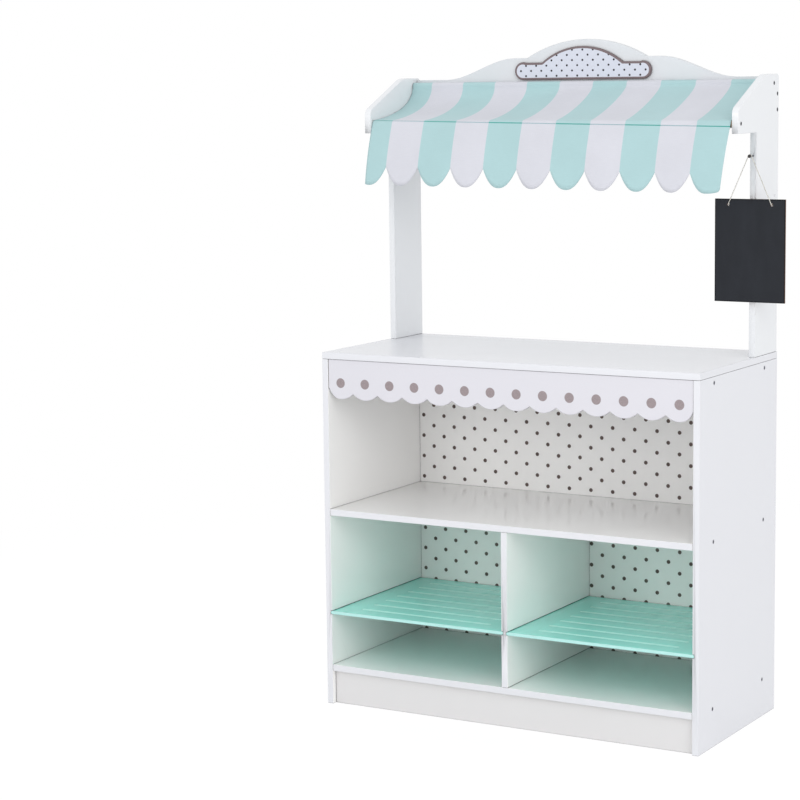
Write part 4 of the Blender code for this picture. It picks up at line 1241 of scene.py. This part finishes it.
def add_lamp(name, place, target, size, strength):
    lamp = bpy.data.lights.new(name, "AREA")
    lamp.shape = "RECTANGLE"
    lamp.size, lamp.size_y = size
    lamp.energy = strength
    made = place_object(name, lamp)
    made.location = place
    made.rotation_euler = (Vector(target) - Vector(place)).to_track_quat("-Z", "Y").to_euler()


def seen_directly(wiring):
    """1 for rays that the camera, a mirror or glass sends, which show the backdrop itself."""
    path = wiring.add("ShaderNodeLightPath").outputs
    seen = wiring.sums("MAXIMUM", path["Is Camera Ray"], path["Is Glossy Ray"])
    return wiring.sums("MAXIMUM", seen, path["Is Transmission Ray"])


def studio_floor(stage):
    """A floor that is matt in its own colour under the lamps, and that the camera sees white far away."""
    material = bpy.data.materials.new("Studio floor")
    w = clean_wiring(material)
    speck = w.ramp(w.noise(w.here(), 4.0), 0.3, 0.7, 0.99, 1.0)
    matt = w.made("ShaderNodeBsdfDiffuse", (w.brighten(stage.floor, speck),))
    bright = w.made("ShaderNodeEmission", ((0.86, 0.86, 0.86, 1), 1.0))
    faint = w.made("ShaderNodeBsdfDiffuse", ((0.16, 0.16, 0.16, 1),))
    lit = w.made("ShaderNodeAddShader", (bright, faint))
    pure = w.made("ShaderNodeEmission", ((1, 1, 1, 1), 1.0))
    away = w.ramp(w.measure("LENGTH", w.here()), 0.9, 2.2)
    shown = w.made("ShaderNodeMixShader", (away, lit, pure))
    mixed = w.made("ShaderNodeMixShader", (seen_directly(w), matt, shown))
    w.add("ShaderNodeOutputMaterial", (mixed,))
    shape = bmesh.new()
    bmesh.ops.create_grid(shape, x_segments=2, y_segments=2, size=24)
    floor = place_object("studio_floor", mesh_from("studio_floor", shape))
    floor.data.materials.append(material)


def soft_room(stage):
    """Even light from all round, which the camera sees as white."""
    world = bpy.data.worlds.new("Soft room")
    w = clean_wiring(world)
    room = w.made("ShaderNodeBackground", ((0.97, 0.985, 1.0, 1), stage.sky))
    white = w.made("ShaderNodeBackground", ((1, 1, 1, 1), 1.0))
    mixed = w.made("ShaderNodeMixShader", (seen_directly(w), room, white))
    w.add("ShaderNodeOutputWorld", (mixed,))
    bpy.context.scene.world = world


def photo_camera(stage):
    """The camera at the photograph's place, turned by its yaw, pitch and roll in radians."""
    camera = place_object("photo_camera", bpy.data.cameras.new("photo_camera"))
    camera.data.lens = stage.lens
    camera.data.sensor_width = 36
    camera.data.clip_end = 100
    place = (1.926934 + MIDDLE_X, -3.793164, 1.163514)
    yaw, pitch, roll = 0.5334192, -0.1372857, -0.0131032
    flat = math.cos(pitch)
    forward = Vector((-math.sin(yaw) * flat, math.cos(yaw) * flat, math.sin(pitch)))
    level = Vector((math.cos(yaw), math.sin(yaw), 0))
    above = level.cross(forward)
    right = level * math.cos(roll) + above * math.sin(roll)
    above = above * math.cos(roll) - level * math.sin(roll)
    turn = Matrix((right, above, -forward)).transposed().to_4x4()
    camera.matrix_world = Matrix.Translation(place) @ turn
    bpy.context.scene.camera = camera


class TOYSTAND_OT_stage(bpy.types.Operator):
    """Set up the pale floor, the soft lamps and the camera"""

    bl_idname = "toy_stand.stage"
    bl_label = "Stage"

    def execute(self, context):
        stage = context.scene.toy_stand.stage
        studio_floor(stage)
        soft_room(stage)
        middle = (0, 0, 0.6)
        add_lamp("key_lamp", (-1.0, -4.2, 1.45), middle, (1.8, 1.8), stage.key)
        add_lamp("high_lamp", (2.4, -2.8, 2.8), middle, (2.0, 1.6), stage.high)
        add_lamp("side_lamp", (3.4, -2.4, 1.2), middle, (2.0, 1.8), stage.side)
        photo_camera(stage)
        context.scene.view_settings.view_transform = "Standard"
        return {"FINISHED"}


class TOYSTAND_PT_panel(bpy.types.Panel):
    bl_label = "Toy Stand"
    bl_idname = "TOYSTAND_PT_panel"
    bl_space_type = "VIEW_3D"
    bl_region_type = "UI"
    bl_category = "Toy Stand"

    def draw(self, context):
        settings = context.scene.toy_stand
        for name, operator in STEPS:
            column = self.layout.column(align=True)
            column.operator(operator.bl_idname)
            if name:
                group = getattr(settings, name)
                for key in group.__annotations__:
                    column.prop(group, key)


# The settings that each step shows in the panel, and the step, in making order
STEPS = (
    ("boards", TOYSTAND_OT_boards), (None, TOYSTAND_OT_backs), (None, TOYSTAND_OT_apron),
    ("trays", TOYSTAND_OT_trays), ("sign", TOYSTAND_OT_sign), ("awning", TOYSTAND_OT_awning),
    (None, TOYSTAND_OT_dowels), ("hardware", TOYSTAND_OT_screws), (None, TOYSTAND_OT_string),
    ("chalkboard", TOYSTAND_OT_chalkboard), ("stage", TOYSTAND_OT_stage),
)
CLASSES = (
    StandBoards, StandTrays, StandSign, StandAwning, StandHardware, StandChalkboard, StandStage,
    StandSettings, *(operator for _, operator in STEPS), TOYSTAND_PT_panel,
)


def register():
    for item in CLASSES:
        bpy.utils.register_class(item)
    bpy.types.Scene.toy_stand = PointerProperty(type=StandSettings)


def unregister():
    del bpy.types.Scene.toy_stand
    for item in reversed(CLASSES):
        bpy.utils.unregister_class(item)


def main():
    register()
    for _, operator in STEPS:
        group, name = operator.bl_idname.split(".")
        getattr(getattr(bpy.ops, group), name)()


if __name__ == "__main__":
    main()
